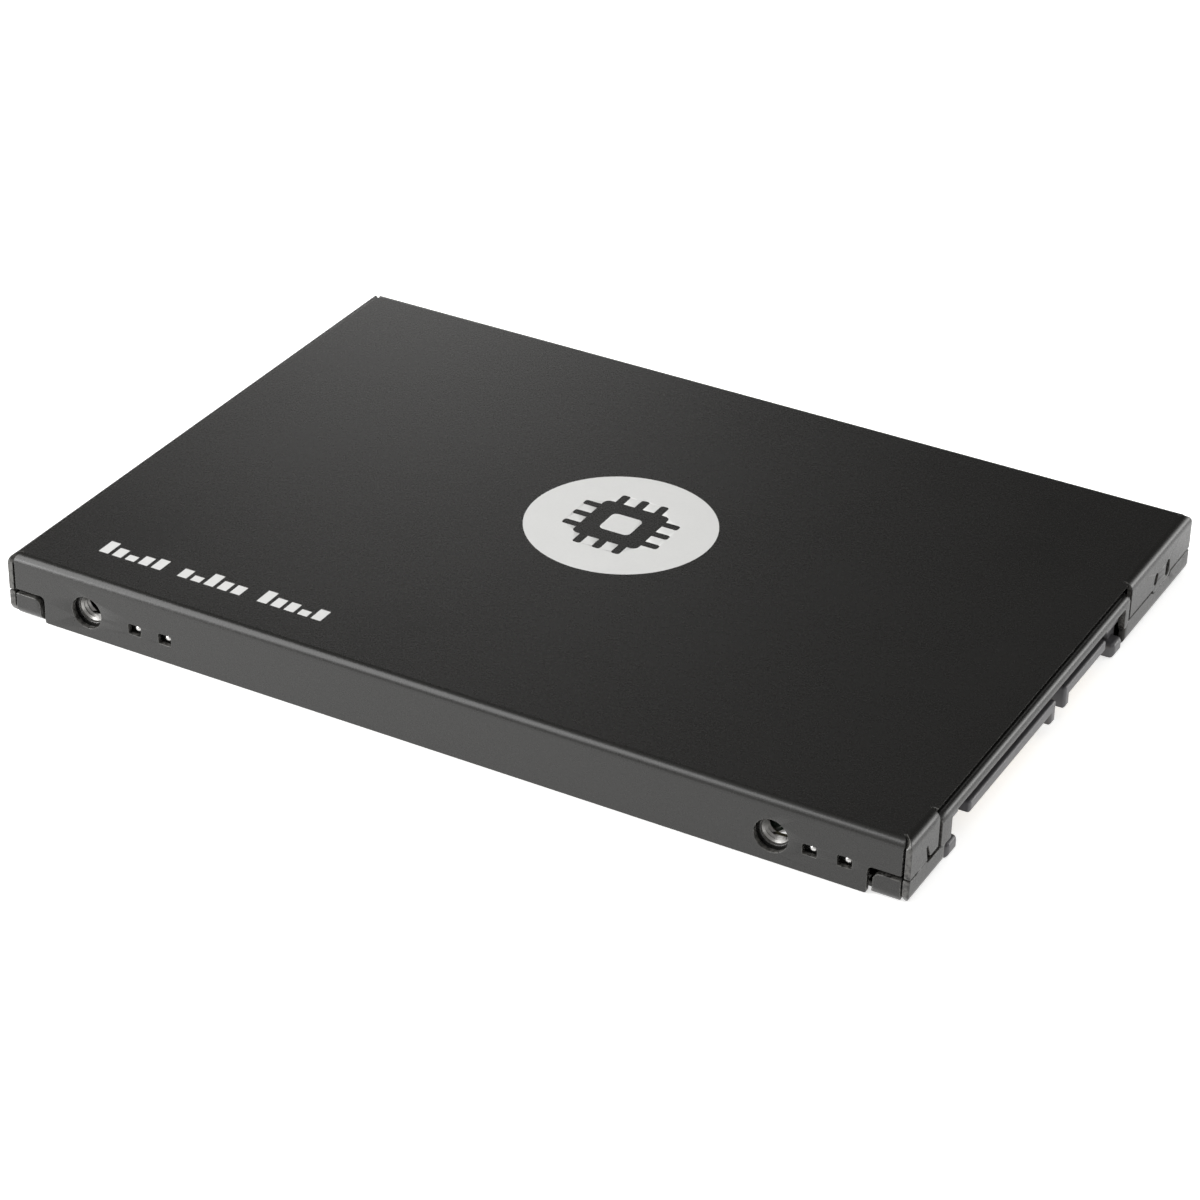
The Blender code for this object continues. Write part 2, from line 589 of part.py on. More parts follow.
def make_connector_housing(shop):
    """Mould the plug: rear block, two keyed blades, two guide arms, two ears on the board."""
    low_y = PLUG_CENTRE_Y - PLUG_HALF
    high_y = PLUG_CENTRE_Y + PLUG_HALF
    size = (BLADE_ROOT_X - BLOCK_X, high_y - low_y, BLOCK_Z[1] - BLOCK_Z[0])
    place = ((BLADE_ROOT_X + BLOCK_X) / 2, PLUG_CENTRE_Y, sum(BLOCK_Z) / 2)
    housing = shop.part("connector_housing", box_mesh("connector_housing", size), place,
                        "black_plug_plastic")
    root = BLADE_ROOT_X - GAP
    for name, blade in (("power_blade", POWER_BLADE_Y), ("signal_blade", SIGNAL_BLADE_Y)):
        combine(housing, shop.box_tool(name, (root, blade[0], BLADE_Z[0]),
                                       (PLUG_FRONT_X, blade[1], BLADE_Z[1])), "UNION")
    middle_z = sum(BLADE_Z) / 2
    keys = ((POWER_BLADE_Y[1] - KEY_WIDTH, POWER_BLADE_Y[1]),
            (SIGNAL_BLADE_Y[0], SIGNAL_BLADE_Y[0] + KEY_WIDTH))
    for number, key in enumerate(keys):
        combine(housing, shop.box_tool(f"key_{number}", (root, key[0], KEY_TIP_Z),
                                       (PLUG_FRONT_X, key[1], middle_z)), "UNION")
    for side in (-1, 1):
        add_guide_arm(shop, housing, side, root)
    grooves = shop.tool("contact_grooves", groove_mesh(), (0.0, 0.0, 0.0))
    combine(housing, grooves, "DIFFERENCE")
    return housing


def add_guide_arm(shop, housing, side, root):
    """Add one guide arm with its foot and lip, and the ear that holds a board lock."""
    outer = PLUG_CENTRE_Y + side * PLUG_HALF

    def span(start, end):
        return sorted((outer - side * start, outer - side * end))

    web = span(0.0, ARM_WIDTH)
    combine(housing, shop.box_tool(f"arm_web_{side}", (root, web[0], ARM_Z[0]),
                                   (WEB_FRONT_X, web[1], ARM_Z[1])), "UNION")
    foot = span(0.0, FOOT_REACH)
    foot_mesh = box_mesh(f"arm_foot_{side}", (PLUG_FRONT_X - root, foot[1] - foot[0],
                                              FOOT_TOP_Z - ARM_Z[0]))
    bevel_edges(foot_mesh, lambda edge: runs_along(edge, 0) and on_side(edge, 1, -side),
                FOOT_ROUND, CORNER_STEPS)
    place = ((PLUG_FRONT_X + root) / 2, sum(foot) / 2, (FOOT_TOP_Z + ARM_Z[0]) / 2)
    combine(housing, shop.tool(f"arm_foot_{side}", foot_mesh, place), "UNION")
    lip = span(LIP_OUTSET, LIP_REACH)
    combine(housing, shop.box_tool(f"arm_lip_{side}", (root, lip[0], LIP_Z),
                                   (LIP_FRONT_X, lip[1], ARM_Z[1])), "UNION")
    ear = span(0.0, EAR_WIDTH)
    combine(housing, shop.box_tool(f"ear_{side}", (EAR_X, ear[0], PART_Z),
                                   (BLOCK_X + GAP, ear[1], BLOCK_Z[1])), "UNION")
    y = sum(ear) / 2
    hole = shop.rod_tool(f"ear_hole_{side}", LOCK_HOLE, (LOCK_X, y, 0.0),
                         (LOCK_X, y, CASE_HEIGHT), 2)
    combine(housing, hole, "DIFFERENCE")


def groove_mesh():
    """Return one box for each contact's groove through the block and along the blade."""
    mesh = bpy.data.meshes.new("contact_grooves")
    shape = bmesh.new()
    length = GROOVE_FRONT_X - BLOCK_X + OVERCUT
    height = GROOVE_Z[1] - GROOVE_Z[0]
    for _, y in all_contacts():
        centre = (GROOVE_FRONT_X - length / 2, y, sum(GROOVE_Z) / 2)
        size = Matrix.Diagonal((length, GROOVE_WIDTH, height, 1.0))
        bmesh.ops.create_cube(shape, size=1.0, matrix=Matrix.Translation(centre) @ size)
    shape.to_mesh(mesh)
    shape.free()
    return mesh


def contact_outline():
    """Return a contact's side outline: a flat blade spring that steps down to its tail."""
    low = BLADE_Z[0]
    high = low + CONTACT_SHEET
    tail_high = BOARD_Z[0] - GAP
    tail_low = tail_high - CONTACT_SHEET
    step = TAIL_X[1] + TAIL_RISE
    lead = CONTACT_SHEET
    return ((TAIL_X[0], tail_low), (TAIL_X[1] + lead, tail_low), (step + lead, low),
            (CONTACT_TIP_X - lead, low), (CONTACT_TIP_X, high), (step, high),
            (TAIL_X[1], tail_high), (TAIL_X[0], tail_high))


def make_contacts(shop):
    """Place the fifteen power contacts and the seven signal contacts, which are all alike."""
    mesh = outline_mesh("contact", contact_outline(), CONTACT_WIDTH)
    for name, y in all_contacts():
        contact = shop.part(name, mesh, (0.0, y, 0.0), "gold_contact")
        contact.rotation_euler = FACING_Y


def make_board(shop):
    """Cut the circuit board with its screw holes and its two board lock holes."""
    size = (BOARD_X[1] - BOARD_X[0], 2 * BOARD_HALF_Y, BOARD_Z[1] - BOARD_Z[0])
    mesh = box_mesh("circuit_board", size)
    bevel_edges(mesh, lambda edge: runs_along(edge, 2), BOARD_CORNER, CORNER_STEPS)
    board = shop.part("circuit_board", mesh, (sum(BOARD_X) / 2, 0.0, sum(BOARD_Z) / 2),
                      "board_laminate")
    holes = [(x, y, SCREW_HOLE) for x, y in SCREW_PLACES]
    holes += [(LOCK_X, y, LOCK_HOLE) for y in lock_places()]
    for number, (x, y, radius) in enumerate(holes):
        hole = shop.rod_tool(f"board_hole_{number}", radius, (x, y, 0.0), (x, y, CASE_HEIGHT), 2)
        combine(board, hole, "DIFFERENCE")


def lock_places():
    """Return the Y places of the two board locks, power side first."""
    reach = PLUG_HALF - EAR_WIDTH / 2
    return (PLUG_CENTRE_Y - reach, PLUG_CENTRE_Y + reach)


def turned_pin(name, head_radius, head_low, head_high, shank_radius, tip_z):
    """Return a headed pin as a turned profile about Z."""
    mesh = bpy.data.meshes.new(name)
    profile = ((0.0, head_high), (head_radius, head_high), (head_radius, head_low),
               (shank_radius, head_low), (shank_radius, tip_z), (0.0, tip_z))
    mesh.from_pydata([(x, 0.0, z) for x, z in profile],
                     [(index, index + 1) for index in range(len(profile) - 1)], [])
    return mesh


def spin(item, sides):
    """Turn an object's profile about Z."""
    screw = item.modifiers.new("turn", "SCREW")
    screw.steps = sides
    screw.render_steps = sides
    screw.use_merge_vertices = True
    screw.merge_threshold = WELD


def make_board_locks(shop):
    """Place the two metal pins that hold the plug's ears to the board."""
    head_low = BLOCK_Z[1] + GAP
    for name, y in zip(("board_lock_power_side", "board_lock_signal_side"), lock_places()):
        mesh = turned_pin(name, LOCK_HEAD, head_low, head_low + LOCK_HEAD_HEIGHT,
                          LOCK_SHANK, LOCK_TIP_Z)
        spin(shop.part(name, mesh, (LOCK_X, y, 0.0), "tinned_steel"), LOCK_SIDES)


def make_screws(shop):
    """Place the four board screws, each with a cross recess in its head."""
    head_low = PART_Z
    head_high = head_low + SCREW_HEAD_HEIGHT
    for number, (x, y) in enumerate(SCREW_PLACES):
        name = f"board_screw_{number + 1}"
        mesh = turned_pin(name, SCREW_HEAD, head_low, head_high, SCREW_SHANK, SCREW_TIP_Z)
        screw = shop.part(name, mesh, (x, y, 0.0), "tinned_steel")
        spin(screw, ROUND_SIDES)
        for arm in (0, 1):
            reach = [RECESS_RADIUS, RECESS_RADIUS / 3]
            half = reach if arm == 0 else reach[::-1]
            slot = shop.box_tool(f"recess_{number}_{arm}",
                                 (x - half[0], y - half[1], head_high - RECESS_DEPTH),
                                 (x + half[0], y + half[1], head_high + OVERCUT))
            combine(screw, slot, "DIFFERENCE")


def make_block(shop, name, size, place, finish, low_z, edge):
    """Place a moulded block that stands at low_z, with its upper edges eased."""
    mesh = box_mesh(name, size)
    bevel_edges(mesh, lambda item: on_side(item, 2, 1) or runs_along(item, 2), edge,
                BLOCK_EDGE_STEPS)
    return shop.part(name, mesh, (*place, low_z + size[2] / 2), finish)


def make_board_parts(shop):
    """Stand the chips, inductors, crystal, capacitors and thermal pad on the board."""
    for number, place in enumerate(FLASH_PLACES):
        make_block(shop, f"flash_chip_{number + 1}", FLASH_SIZE, place, "chip_epoxy",
                   PART_Z, CHIP_EDGE)
    make_block(shop, "controller_chip", CONTROLLER_SIZE, CONTROLLER_PLACE, "chip_epoxy",
               PART_Z, CHIP_EDGE)
    make_block(shop, "thermal_pad", PAD_SIZE, CONTROLLER_PLACE, "thermal_gel_pad",
               PART_Z + CONTROLLER_SIZE[2] + GAP, CAN_EDGE)
    make_block(shop, "regulator_chip", REGULATOR_SIZE, REGULATOR_PLACE, "chip_epoxy",
               PART_Z, CHIP_EDGE)
    for number, place in enumerate(INDUCTOR_PLACES):
        make_block(shop, f"power_inductor_{number + 1}", INDUCTOR_SIZE, place, "ferrite",
                   PART_Z, INDUCTOR_EDGE)
    make_block(shop, "clock_crystal", CRYSTAL_SIZE, CRYSTAL_PLACE, "tinned_steel",
               PART_Z, CAN_EDGE)
    for number in range(CAPACITOR_COUNT):
        place = (CAPACITOR_X, CAPACITOR_FIRST_Y + number * CAPACITOR_STEP)
        make_block(shop, f"filter_capacitor_{number + 1}", CAPACITOR_SIZE, place,
                   "capacitor_case", PART_Z, CAPACITOR_EDGE)


def make_insulating_sheet(shop):
    """Lay the thin film between the tray's floor and the board."""
    size = (SHEET_X[1] - SHEET_X[0], 2 * SHEET_HALF_Y, SHEET_Z[1] - SHEET_Z[0])
    mesh = box_mesh("insulating_sheet", size)
    bevel_edges(mesh, lambda edge: runs_along(edge, 2), BOARD_CORNER, CORNER_STEPS)
    shop.part("insulating_sheet", mesh, (sum(SHEET_X) / 2, 0.0, sum(SHEET_Z) / 2), "clear_film")


def main():
    """Build the whole drive."""
    clear_scene()
    shop = Workshop()
    make_top_cover(shop)
    make_bottom_cover(shop)
    make_insulating_sheet(shop)
    make_board(shop)
    make_connector_housing(shop)
    make_contacts(shop)
    make_board_locks(shop)
    make_screws(shop)
    make_board_parts(shop)


main()
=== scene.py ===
"""The looks of a slim 2.5-inch solid state drive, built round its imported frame.

Lengths in this file are millimetres in the drive's own frame, and are turned into metres
only when a mesh is finished. +X leaves the connector end, +Y runs across the drive and +Z is up.
"""
import logging
import math
from abc import ABC, abstractmethod
from dataclasses import dataclass
from enum import Enum
from typing import Any, Iterable, Optional, Sequence, Union

import bmesh
import bpy
from mathutils import Matrix, Vector
from mathutils.geometry import delaunay_2d_cdt


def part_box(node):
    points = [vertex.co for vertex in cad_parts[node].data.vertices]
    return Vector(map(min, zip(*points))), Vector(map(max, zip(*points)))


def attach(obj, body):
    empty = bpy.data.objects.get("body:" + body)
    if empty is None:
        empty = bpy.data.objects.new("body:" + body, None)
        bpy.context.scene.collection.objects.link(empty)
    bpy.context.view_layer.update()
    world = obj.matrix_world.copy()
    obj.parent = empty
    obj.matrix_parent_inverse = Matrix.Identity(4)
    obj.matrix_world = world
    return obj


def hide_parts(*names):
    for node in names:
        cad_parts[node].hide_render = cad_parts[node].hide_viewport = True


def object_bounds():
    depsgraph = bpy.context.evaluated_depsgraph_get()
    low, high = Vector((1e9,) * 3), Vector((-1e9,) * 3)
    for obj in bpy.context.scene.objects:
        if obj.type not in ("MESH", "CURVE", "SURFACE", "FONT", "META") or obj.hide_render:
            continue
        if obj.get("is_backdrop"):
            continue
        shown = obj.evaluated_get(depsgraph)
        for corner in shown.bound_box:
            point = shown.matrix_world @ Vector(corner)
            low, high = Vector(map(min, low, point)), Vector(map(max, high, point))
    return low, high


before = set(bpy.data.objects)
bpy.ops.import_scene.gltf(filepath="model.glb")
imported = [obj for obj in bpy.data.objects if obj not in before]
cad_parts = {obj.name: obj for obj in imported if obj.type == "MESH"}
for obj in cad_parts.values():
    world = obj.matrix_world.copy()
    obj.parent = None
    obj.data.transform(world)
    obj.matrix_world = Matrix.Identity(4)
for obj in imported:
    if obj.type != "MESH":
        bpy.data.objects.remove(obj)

LOG = logging.getLogger("drive")
MM = 0.001
ROOT = "root"
HALF_PI = math.pi / 2

Point = tuple[float, ...]
Loop = list[Vector]

# The corner signs of a square, and a straight longer than any flange.
SQUARE = ((-1, -1), (1, -1), (1, 1), (-1, 1))
LONG = 20.0


class Slot(Enum):
    """The record's material slots."""

    CASE = "case_paint"
    PLUG = "plug_plastic"
    GOLD = "contact_gold"
    STEEL = "plated_steel"
    LAMINATE = "board_laminate"
    EPOXY = "chip_epoxy"
    FERRITE = "ferrite_core"
    CAPACITOR = "capacitor_case"
    PAD = "thermal_pad"
    FILM = "clear_film"
    BARE = "bare_metal"
    INK = "print_ink"
    LABEL = "label_stock"


# --------------------------------------------------------------------------- shader maths


class Signal:
    """A shader value, on which ordinary arithmetic adds Math nodes."""

    def __init__(self, desk: "NodeDesk", socket: bpy.types.NodeSocket) -> None:
        """Wrap a socket.

        Args:
            desk: The desk that adds nodes to the same tree.
            socket: The output socket to wrap.
        """
        self.desk = desk
        self.socket = socket

    def maths(self, operation: str, first: Any, second: Any = 0.0) -> "Signal":
        """Add one Math node and return its result."""
        node = self.desk.node("ShaderNodeMath", {"operation": operation}, {0: first, 1: second})
        return Signal(self.desk, node.outputs[0])

    def __add__(self, other: Any) -> "Signal":
        """Return self + other."""
        return self.maths("ADD", self, other)

    __radd__ = __add__

    def __sub__(self, other: Any) -> "Signal":
        """Return self - other."""
        return self.maths("SUBTRACT", self, other)

    def __rsub__(self, other: Any) -> "Signal":
        """Return other - self."""
        return self.maths("SUBTRACT", other, self)

    def __mul__(self, other: Any) -> "Signal":
        """Return self * other."""
        return self.maths("MULTIPLY", self, other)

    __rmul__ = __mul__

    def __pow__(self, other: Any) -> "Signal":
        """Return self to the power of other."""
        return self.maths("POWER", self, other)

    def __abs__(self) -> "Signal":
        """Return self without its sign."""
        return self.maths("ABSOLUTE", self)

    def above(self, level: float, softness: float) -> "Signal":
        """Return a mask that rises from 0 to 1 as this value passes a level.

        Args:
            level: The value where the mask is one half.
            softness: The width of the rise.

        Returns:
            The mask.
        """
        node = self.desk.node("ShaderNodeMapRange", {"interpolation_type": "SMOOTHSTEP"},
                              {0: self, 1: level - softness / 2, 2: level + softness / 2})
        return Signal(self.desk, node.outputs[0])

    def between(self, low: float, high: float) -> "Signal":
        """Return this 0-to-1 value spread over a range.

        Args:
            low: The result at 0.
            high: The result at 1.

        Returns:
            The spread value.
        """
        return self * (high - low) + low


class NodeDesk:
    """Adds nodes to one node tree."""

    def __init__(self, tree: bpy.types.NodeTree) -> None:
        """Take up a tree.

        Args:
            tree: The tree that nodes are added to.
        """
        self.tree = tree

    def node(self, kind: str, settings: Optional[dict[str, Any]] = None,
             inputs: Optional[dict[Union[int, str], Any]] = None) -> bpy.types.Node:
        """Add a node, set it up and connect it.

        Args:
            kind: The node's type.
            settings: Its settings.
            inputs: Socket names or numbers, with values, sockets or signals.

        Returns:
            The node.
        """
        node = self.tree.nodes.new(kind)
        for name, value in (settings or {}).items():
            setattr(node, name, value)
        for key, value in (inputs or {}).items():
            self.feed(node.inputs[key], value)
        return node

    def feed(self, socket: bpy.types.NodeSocket, value: Any) -> None:
        """Set or link a socket.

        Args:
            socket: The input socket.
            value: A number, tuple, data-block, socket or signal.
        """
        if isinstance(value, Signal):
            value = value.socket
        if isinstance(value, bpy.types.NodeSocket):
            self.tree.links.new(value, socket)
        else:
            socket.default_value = value


class ShaderDesk(NodeDesk):
    """Adds nodes to one material."""

    def __init__(self, name: str) -> None:
        """Start a material with a Principled shader.

        Args:
            name: The material's name.
        """
        self.material = bpy.data.materials.new(name)
        self.material.use_nodes = True
        super().__init__(self.material.node_tree)
        self.shader = self.tree.nodes["Principled BSDF"]
        self._place: Optional[bpy.types.NodeSocket] = None

    def place(self) -> bpy.types.NodeSocket:
        """Return the object's own coordinates, in metres."""
        if self._place is None:
            self._place = self.node("ShaderNodeTexCoord").outputs["Object"]
        return self._place

    def noise(self, grain: float, detail: float = 2.0, roughness: float = 0.5,
              stretch: Point = (1.0, 1.0, 1.0)) -> Signal:
        """Return a noise pattern.

        Args:
            grain: The size of a grain in millimetres.
            detail: How many finer layers it has.
            roughness: How strong the finer layers are.
            stretch: How much the grain is stretched along each axis.

        Returns:
            The noise, about 0.5 on average.
        """
        scale = tuple(1.0 / (grain * MM * part) for part in stretch)
        mapped = self.node("ShaderNodeMapping", {}, {"Vector": self.place(), "Scale": scale})
        node = self.node("ShaderNodeTexNoise", {}, {
            "Vector": mapped.outputs[0], "Scale": 1.0, "Detail": detail, "Roughness": roughness})
        return Signal(self, node.outputs[0])

    def attribute(self, name: str) -> Signal:
        """Return a named mesh attribute."""
        node = self.node("ShaderNodeAttribute", {"attribute_name": name})
        return Signal(self, node.outputs["Fac"])

    def blend(self, mask: Any, first: Any, second: Any) -> bpy.types.NodeSocket:
        """Return a colour between two colours.

        Args:
            mask: 0 for the first colour and 1 for the second.
            first: A colour or a colour socket.
            second: A colour or a colour socket.

        Returns:
            The mixed colour.
        """
        first, second = [(*c, 1.0) if isinstance(c, tuple) else c for c in (first, second)]
        node = self.node("ShaderNodeMix", {"data_type": "RGBA"}, {0: mask, 6: first, 7: second})
        return node.outputs[2]

    def bump(self, height: Signal, depth: float, strength: float = 1.0,
             below: Optional[bpy.types.NodeSocket] = None) -> bpy.types.NodeSocket:
        """Return a bumped normal.

        Args:
            height: The pattern of heights, 0 to 1.
            depth: The height of 1, in millimetres.
            strength: How much of the bump shows.
            below: A normal that it adds to.

        Returns:
            The normal.
        """
        inputs: dict[Union[int, str], Any] = {
            "Height": height, "Distance": depth * MM, "Strength": strength}
        if below is not None:
            inputs["Normal"] = below
        return self.node("ShaderNodeBump", {}, inputs).outputs[0]

    def finish(self, **values: Any) -> bpy.types.Material:
        """Feed the Principled shader and return the material.

        Args:
            **values: Socket names, with underscores for spaces.

        Returns:
            The material.
        """
        for name, value in values.items():
            if isinstance(value, tuple) and len(value) == 3:
                value = (*value, 1.0)
            self.feed(self.shader.inputs[name.replace("_", " ")], value)
        return self.material


# --------------------------------------------------------------------------- finishes


@dataclass(frozen=True)
class Finish(ABC):
    """A surface finish, which makes its material once."""

    name: str
    slot: Slot

    @abstractmethod
    def paint(self, desk: ShaderDesk) -> bpy.types.Material:
        """Build the material on a desk and return it."""

    def material(self) -> bpy.types.Material:
        """Return the material, made on first use."""
        found = bpy.data.materials.get(self.name)
        return found if found else self.paint(ShaderDesk(self.name))


@dataclass(frozen=True)
class SatinPaint(Finish):
    """Black paint with a fine grain over pressed sheet, worn along its cut edges."""

    colour: Point = (0.0128, 0.0125, 0.0118)
    worn: Point = (0.085, 0.083, 0.078)
    bare: Point = (0.30, 0.295, 0.285)
    grain: float = 0.34
    roughness: tuple[float, float] = (0.21, 0.30)

    def paint(self, desk: ShaderDesk) -> bpy.types.Material:
        """Build the paint."""
        grain = desk.noise(self.grain, 3.0, 0.62)
        drift = desk.noise(14.0, 2.0)
        specks = desk.noise(0.9, 4.0, 0.7)
        rim = desk.attribute("rim")
        wear = rim * desk.noise(0.5, 3.0, 0.7).above(0.46, 0.22)
        chips = rim * desk.noise(0.8, 4.0, 0.75).above(0.70, 0.06)
        flecks = specks.above(0.70, 0.06)
        tone = desk.blend(drift.between(0.25, 0.75), tuple(c * 0.86 for c in self.colour),
                          tuple(c * 1.16 for c in self.colour))
        tone = desk.blend(flecks * 0.20, tone, tuple(c * 3.0 for c in self.colour))
        tone = desk.blend(wear * 0.75, tone, self.worn)
        tone = desk.blend(chips * 0.8, tone, self.bare)
        rough = grain.between(*self.roughness) + drift * 0.04 - wear * 0.08
        pebble = desk.bump(grain, 0.006, 0.36)
        pebble = desk.bump(desk.noise(1.6, 2.0), 0.008, 0.25, pebble)
        return desk.finish(Base_Color=tone, Roughness=rough, Metallic=chips * 0.9,
                           Normal=pebble, IOR=1.43)


@dataclass(frozen=True)
class MouldedPlastic(Finish):
    """Moulded plastic with a faint sparkle of filler and a fine spark-eroded texture."""

    colour: Point = (0.074, 0.072, 0.077)
    roughness: tuple[float, float] = (0.32, 0.46)

    def paint(self, desk: ShaderDesk) -> bpy.types.Material:
        """Build the plastic."""
        fine = desk.noise(0.22, 3.0, 0.6)
        flow = desk.noise(2.4, 3.0, 0.6, (1.0, 4.0, 1.0))
        tone = desk.blend(flow.between(0.2, 0.8), tuple(c * 0.8 for c in self.colour),
                          tuple(c * 1.35 for c in self.colour))
        sparkle = desk.noise(0.12, 2.0, 0.7).above(0.72, 0.05)
        tone = desk.blend(sparkle * 0.4, tone, (0.12, 0.12, 0.125))
        rough = fine.between(*self.roughness)
        return desk.finish(Base_Color=tone, Roughness=rough, Normal=desk.bump(fine, 0.006, 0.5),
                           IOR=1.56)


@dataclass(frozen=True)
class CutMetal(Finish):
    """Bare metal with fine tool marks round or along it."""

    colour: Point = (0.66, 0.655, 0.64)
    roughness: tuple[float, float] = (0.22, 0.38)
    stretch: Point = (8.0, 8.0, 1.0)
    tarnish: float = 0.3

    def paint(self, desk: ShaderDesk) -> bpy.types.Material:
        """Build the metal."""
        marks = desk.noise(0.05, 2.0, 0.6, self.stretch)
        cloud = desk.noise(1.1, 3.0, 0.6)
        tone = desk.blend(cloud.above(0.55, 0.3) * self.tarnish, self.colour,
                          tuple(c * 0.45 for c in self.colour))
        rough = marks.between(*self.roughness) + cloud * 0.06
        return desk.finish(Base_Color=tone, Roughness=rough, Metallic=1.0,
                           Normal=desk.bump(marks, 0.002, 0.4))


@dataclass(frozen=True)
class GoldPlate(Finish):
    """Gold plate over nickel, with faint wiping marks along the contact."""

    colour: Point = (0.86, 0.62, 0.25)

    def paint(self, desk: ShaderDesk) -> bpy.types.Material:
        """Build the plate."""
        wipe = desk.noise(0.06, 2.0, 0.6, (12.0, 1.0, 1.0))
        cloud = desk.noise(0.7, 3.0)
        tone = desk.blend(cloud.between(0.1, 0.5), self.colour, (0.74, 0.55, 0.27))
        return desk.finish(Base_Color=tone, Roughness=wipe.between(0.16, 0.32), Metallic=1.0,
                           Normal=desk.bump(wipe, 0.002, 0.3))


@dataclass(frozen=True)
class SolderMask(Finish):
    """Green solder mask over copper tracks, with the weave of the glass under it."""

    mask: Point = (0.008, 0.052, 0.026)
    track: Point = (0.016, 0.105, 0.050)
    edge: Point = (0.30, 0.27, 0.15)
    pitch: float = 0.9

    def paint(self, desk: ShaderDesk) -> bpy.types.Material:
        """Build the board's surface."""
        cells = desk.node("ShaderNodeTexVoronoi", {"feature": "F1", "distance": "MANHATTAN"},
                          {"Vector": desk.place(), "Scale": 1.0 / (self.pitch * 5 * MM)})
        bands = Signal(desk, cells.outputs["Distance"]) * 9.0
        ripple = bands.maths("PINGPONG", bands, 0.5)
        tracks = ripple.above(0.25, 0.05)
        weave = desk.noise(0.25, 1.0, 0.5, (1.0, 3.0, 1.0)) + desk.noise(0.25, 1.0, 0.5,
                                                                        (3.0, 1.0, 1.0))
        tone = desk.blend(tracks, self.mask, self.track)
        tone = desk.blend(weave * 0.12, tone, (0.02, 0.09, 0.05))
        side = desk.node("ShaderNodeNewGeometry", {}, {})
        level = desk.node("ShaderNodeSeparateXYZ", {}, {0: side.outputs["Normal"]})
        flat = abs(Signal(desk, level.outputs[2]))
        tone = desk.blend(1 - flat.above(0.5, 0.2), tone, self.edge)
        height = desk.bump(tracks, 0.02, 0.6)
        return desk.finish(Base_Color=tone, Roughness=weave.between(0.26, 0.36), Normal=height)


@dataclass(frozen=True)
class SoftSolid(Finish):
    """A dull moulded or pressed surface: chip compound, ferrite, gel pad or capacitor case."""

    colour: Point = (0.022, 0.022, 0.023)
    roughness: tuple[float, float] = (0.5, 0.65)
    grain: float = 0.12
    depth: float = 0.006
    contrast: float = 0.35

    def paint(self, desk: ShaderDesk) -> bpy.types.Material:
        """Build the surface."""
        grain = desk.noise(self.grain, 3.0, 0.65)
        cloud = desk.noise(2.5, 3.0)
        tone = desk.blend(grain * 0.5 + cloud * 0.5, tuple(c * (1 - self.contrast)
                                                           for c in self.colour),
                          tuple(c * (1 + self.contrast) for c in self.colour))
        return desk.finish(Base_Color=tone, Roughness=grain.between(*self.roughness),
                           Normal=desk.bump(grain, self.depth, 0.6))


@dataclass(frozen=True)
class ThinFilm(Finish):
    """A translucent insulating film with faint handling creases."""

    colour: Point = (0.42, 0.36, 0.22)

    def paint(self, desk: ShaderDesk) -> bpy.types.Material:
        """Build the film."""
        crease = desk.noise(9.0, 3.0, 0.6, (1.0, 2.5, 1.0))
        tone = desk.blend(crease.between(0.2, 0.8), self.colour, (0.52, 0.47, 0.33))
        return desk.finish(Base_Color=tone, Roughness=crease.between(0.18, 0.34),
                           Normal=desk.bump(crease, 0.05, 0.4), Alpha=0.8)


@dataclass(frozen=True)
class ScreenInk(Finish):
    """A pale screen-printed ink, very slightly uneven."""

    colour: Point = (0.58, 0.58, 0.57)

    def paint(self, desk: ShaderDesk) -> bpy.types.Material:
        """Build the ink."""
        mesh = desk.noise(0.30, 2.0, 0.6)
        cloud = desk.noise(5.0, 2.0)
        tone = desk.blend(mesh * 0.6 + cloud * 0.4, tuple(c * 0.93 for c in self.colour),
                          tuple(min(1.0, c * 1.05) for c in self.colour))
        return desk.finish(Base_Color=tone, Roughness=mesh.between(0.45, 0.6),
                           Normal=desk.bump(mesh, 0.006, 0.5))


@dataclass(frozen=True)
class LabelStock(Finish):
    """A satin polyester label."""

    colour: Point = (0.60, 0.61, 0.62)

    def paint(self, desk: ShaderDesk) -> bpy.types.Material:
        """Build the label."""
        fibre = desk.noise(0.6, 3.0, 0.6, (3.0, 1.0, 1.0))
        tone = desk.blend(fibre.between(0.3, 0.7), tuple(c * 0.95 for c in self.colour),
                          tuple(c * 1.04 for c in self.colour))
        return desk.finish(Base_Color=tone, Roughness=fibre.between(0.28, 0.4),
                           Normal=desk.bump(desk.noise(12.0, 2.0), 0.03, 0.5))


@dataclass(frozen=True)
class PalePaper(Finish):
    """The plain pale floor, a sheet that is faintly lit from below."""

    colour: Point = (0.90, 0.90, 0.895)
    lit: float = 0.71

    def paint(self, desk: ShaderDesk) -> bpy.types.Material:
        """Build the floor's surface."""
        cloud = desk.noise(160.0, 2.0)
        tone = desk.blend(cloud.between(0.3, 0.7), tuple(c * 0.995 for c in self.colour),
                          self.colour)
        return desk.finish(Base_Color=tone, Roughness=cloud.between(0.75, 0.85),
                           Emission_Color=tone, Emission_Strength=self.lit)


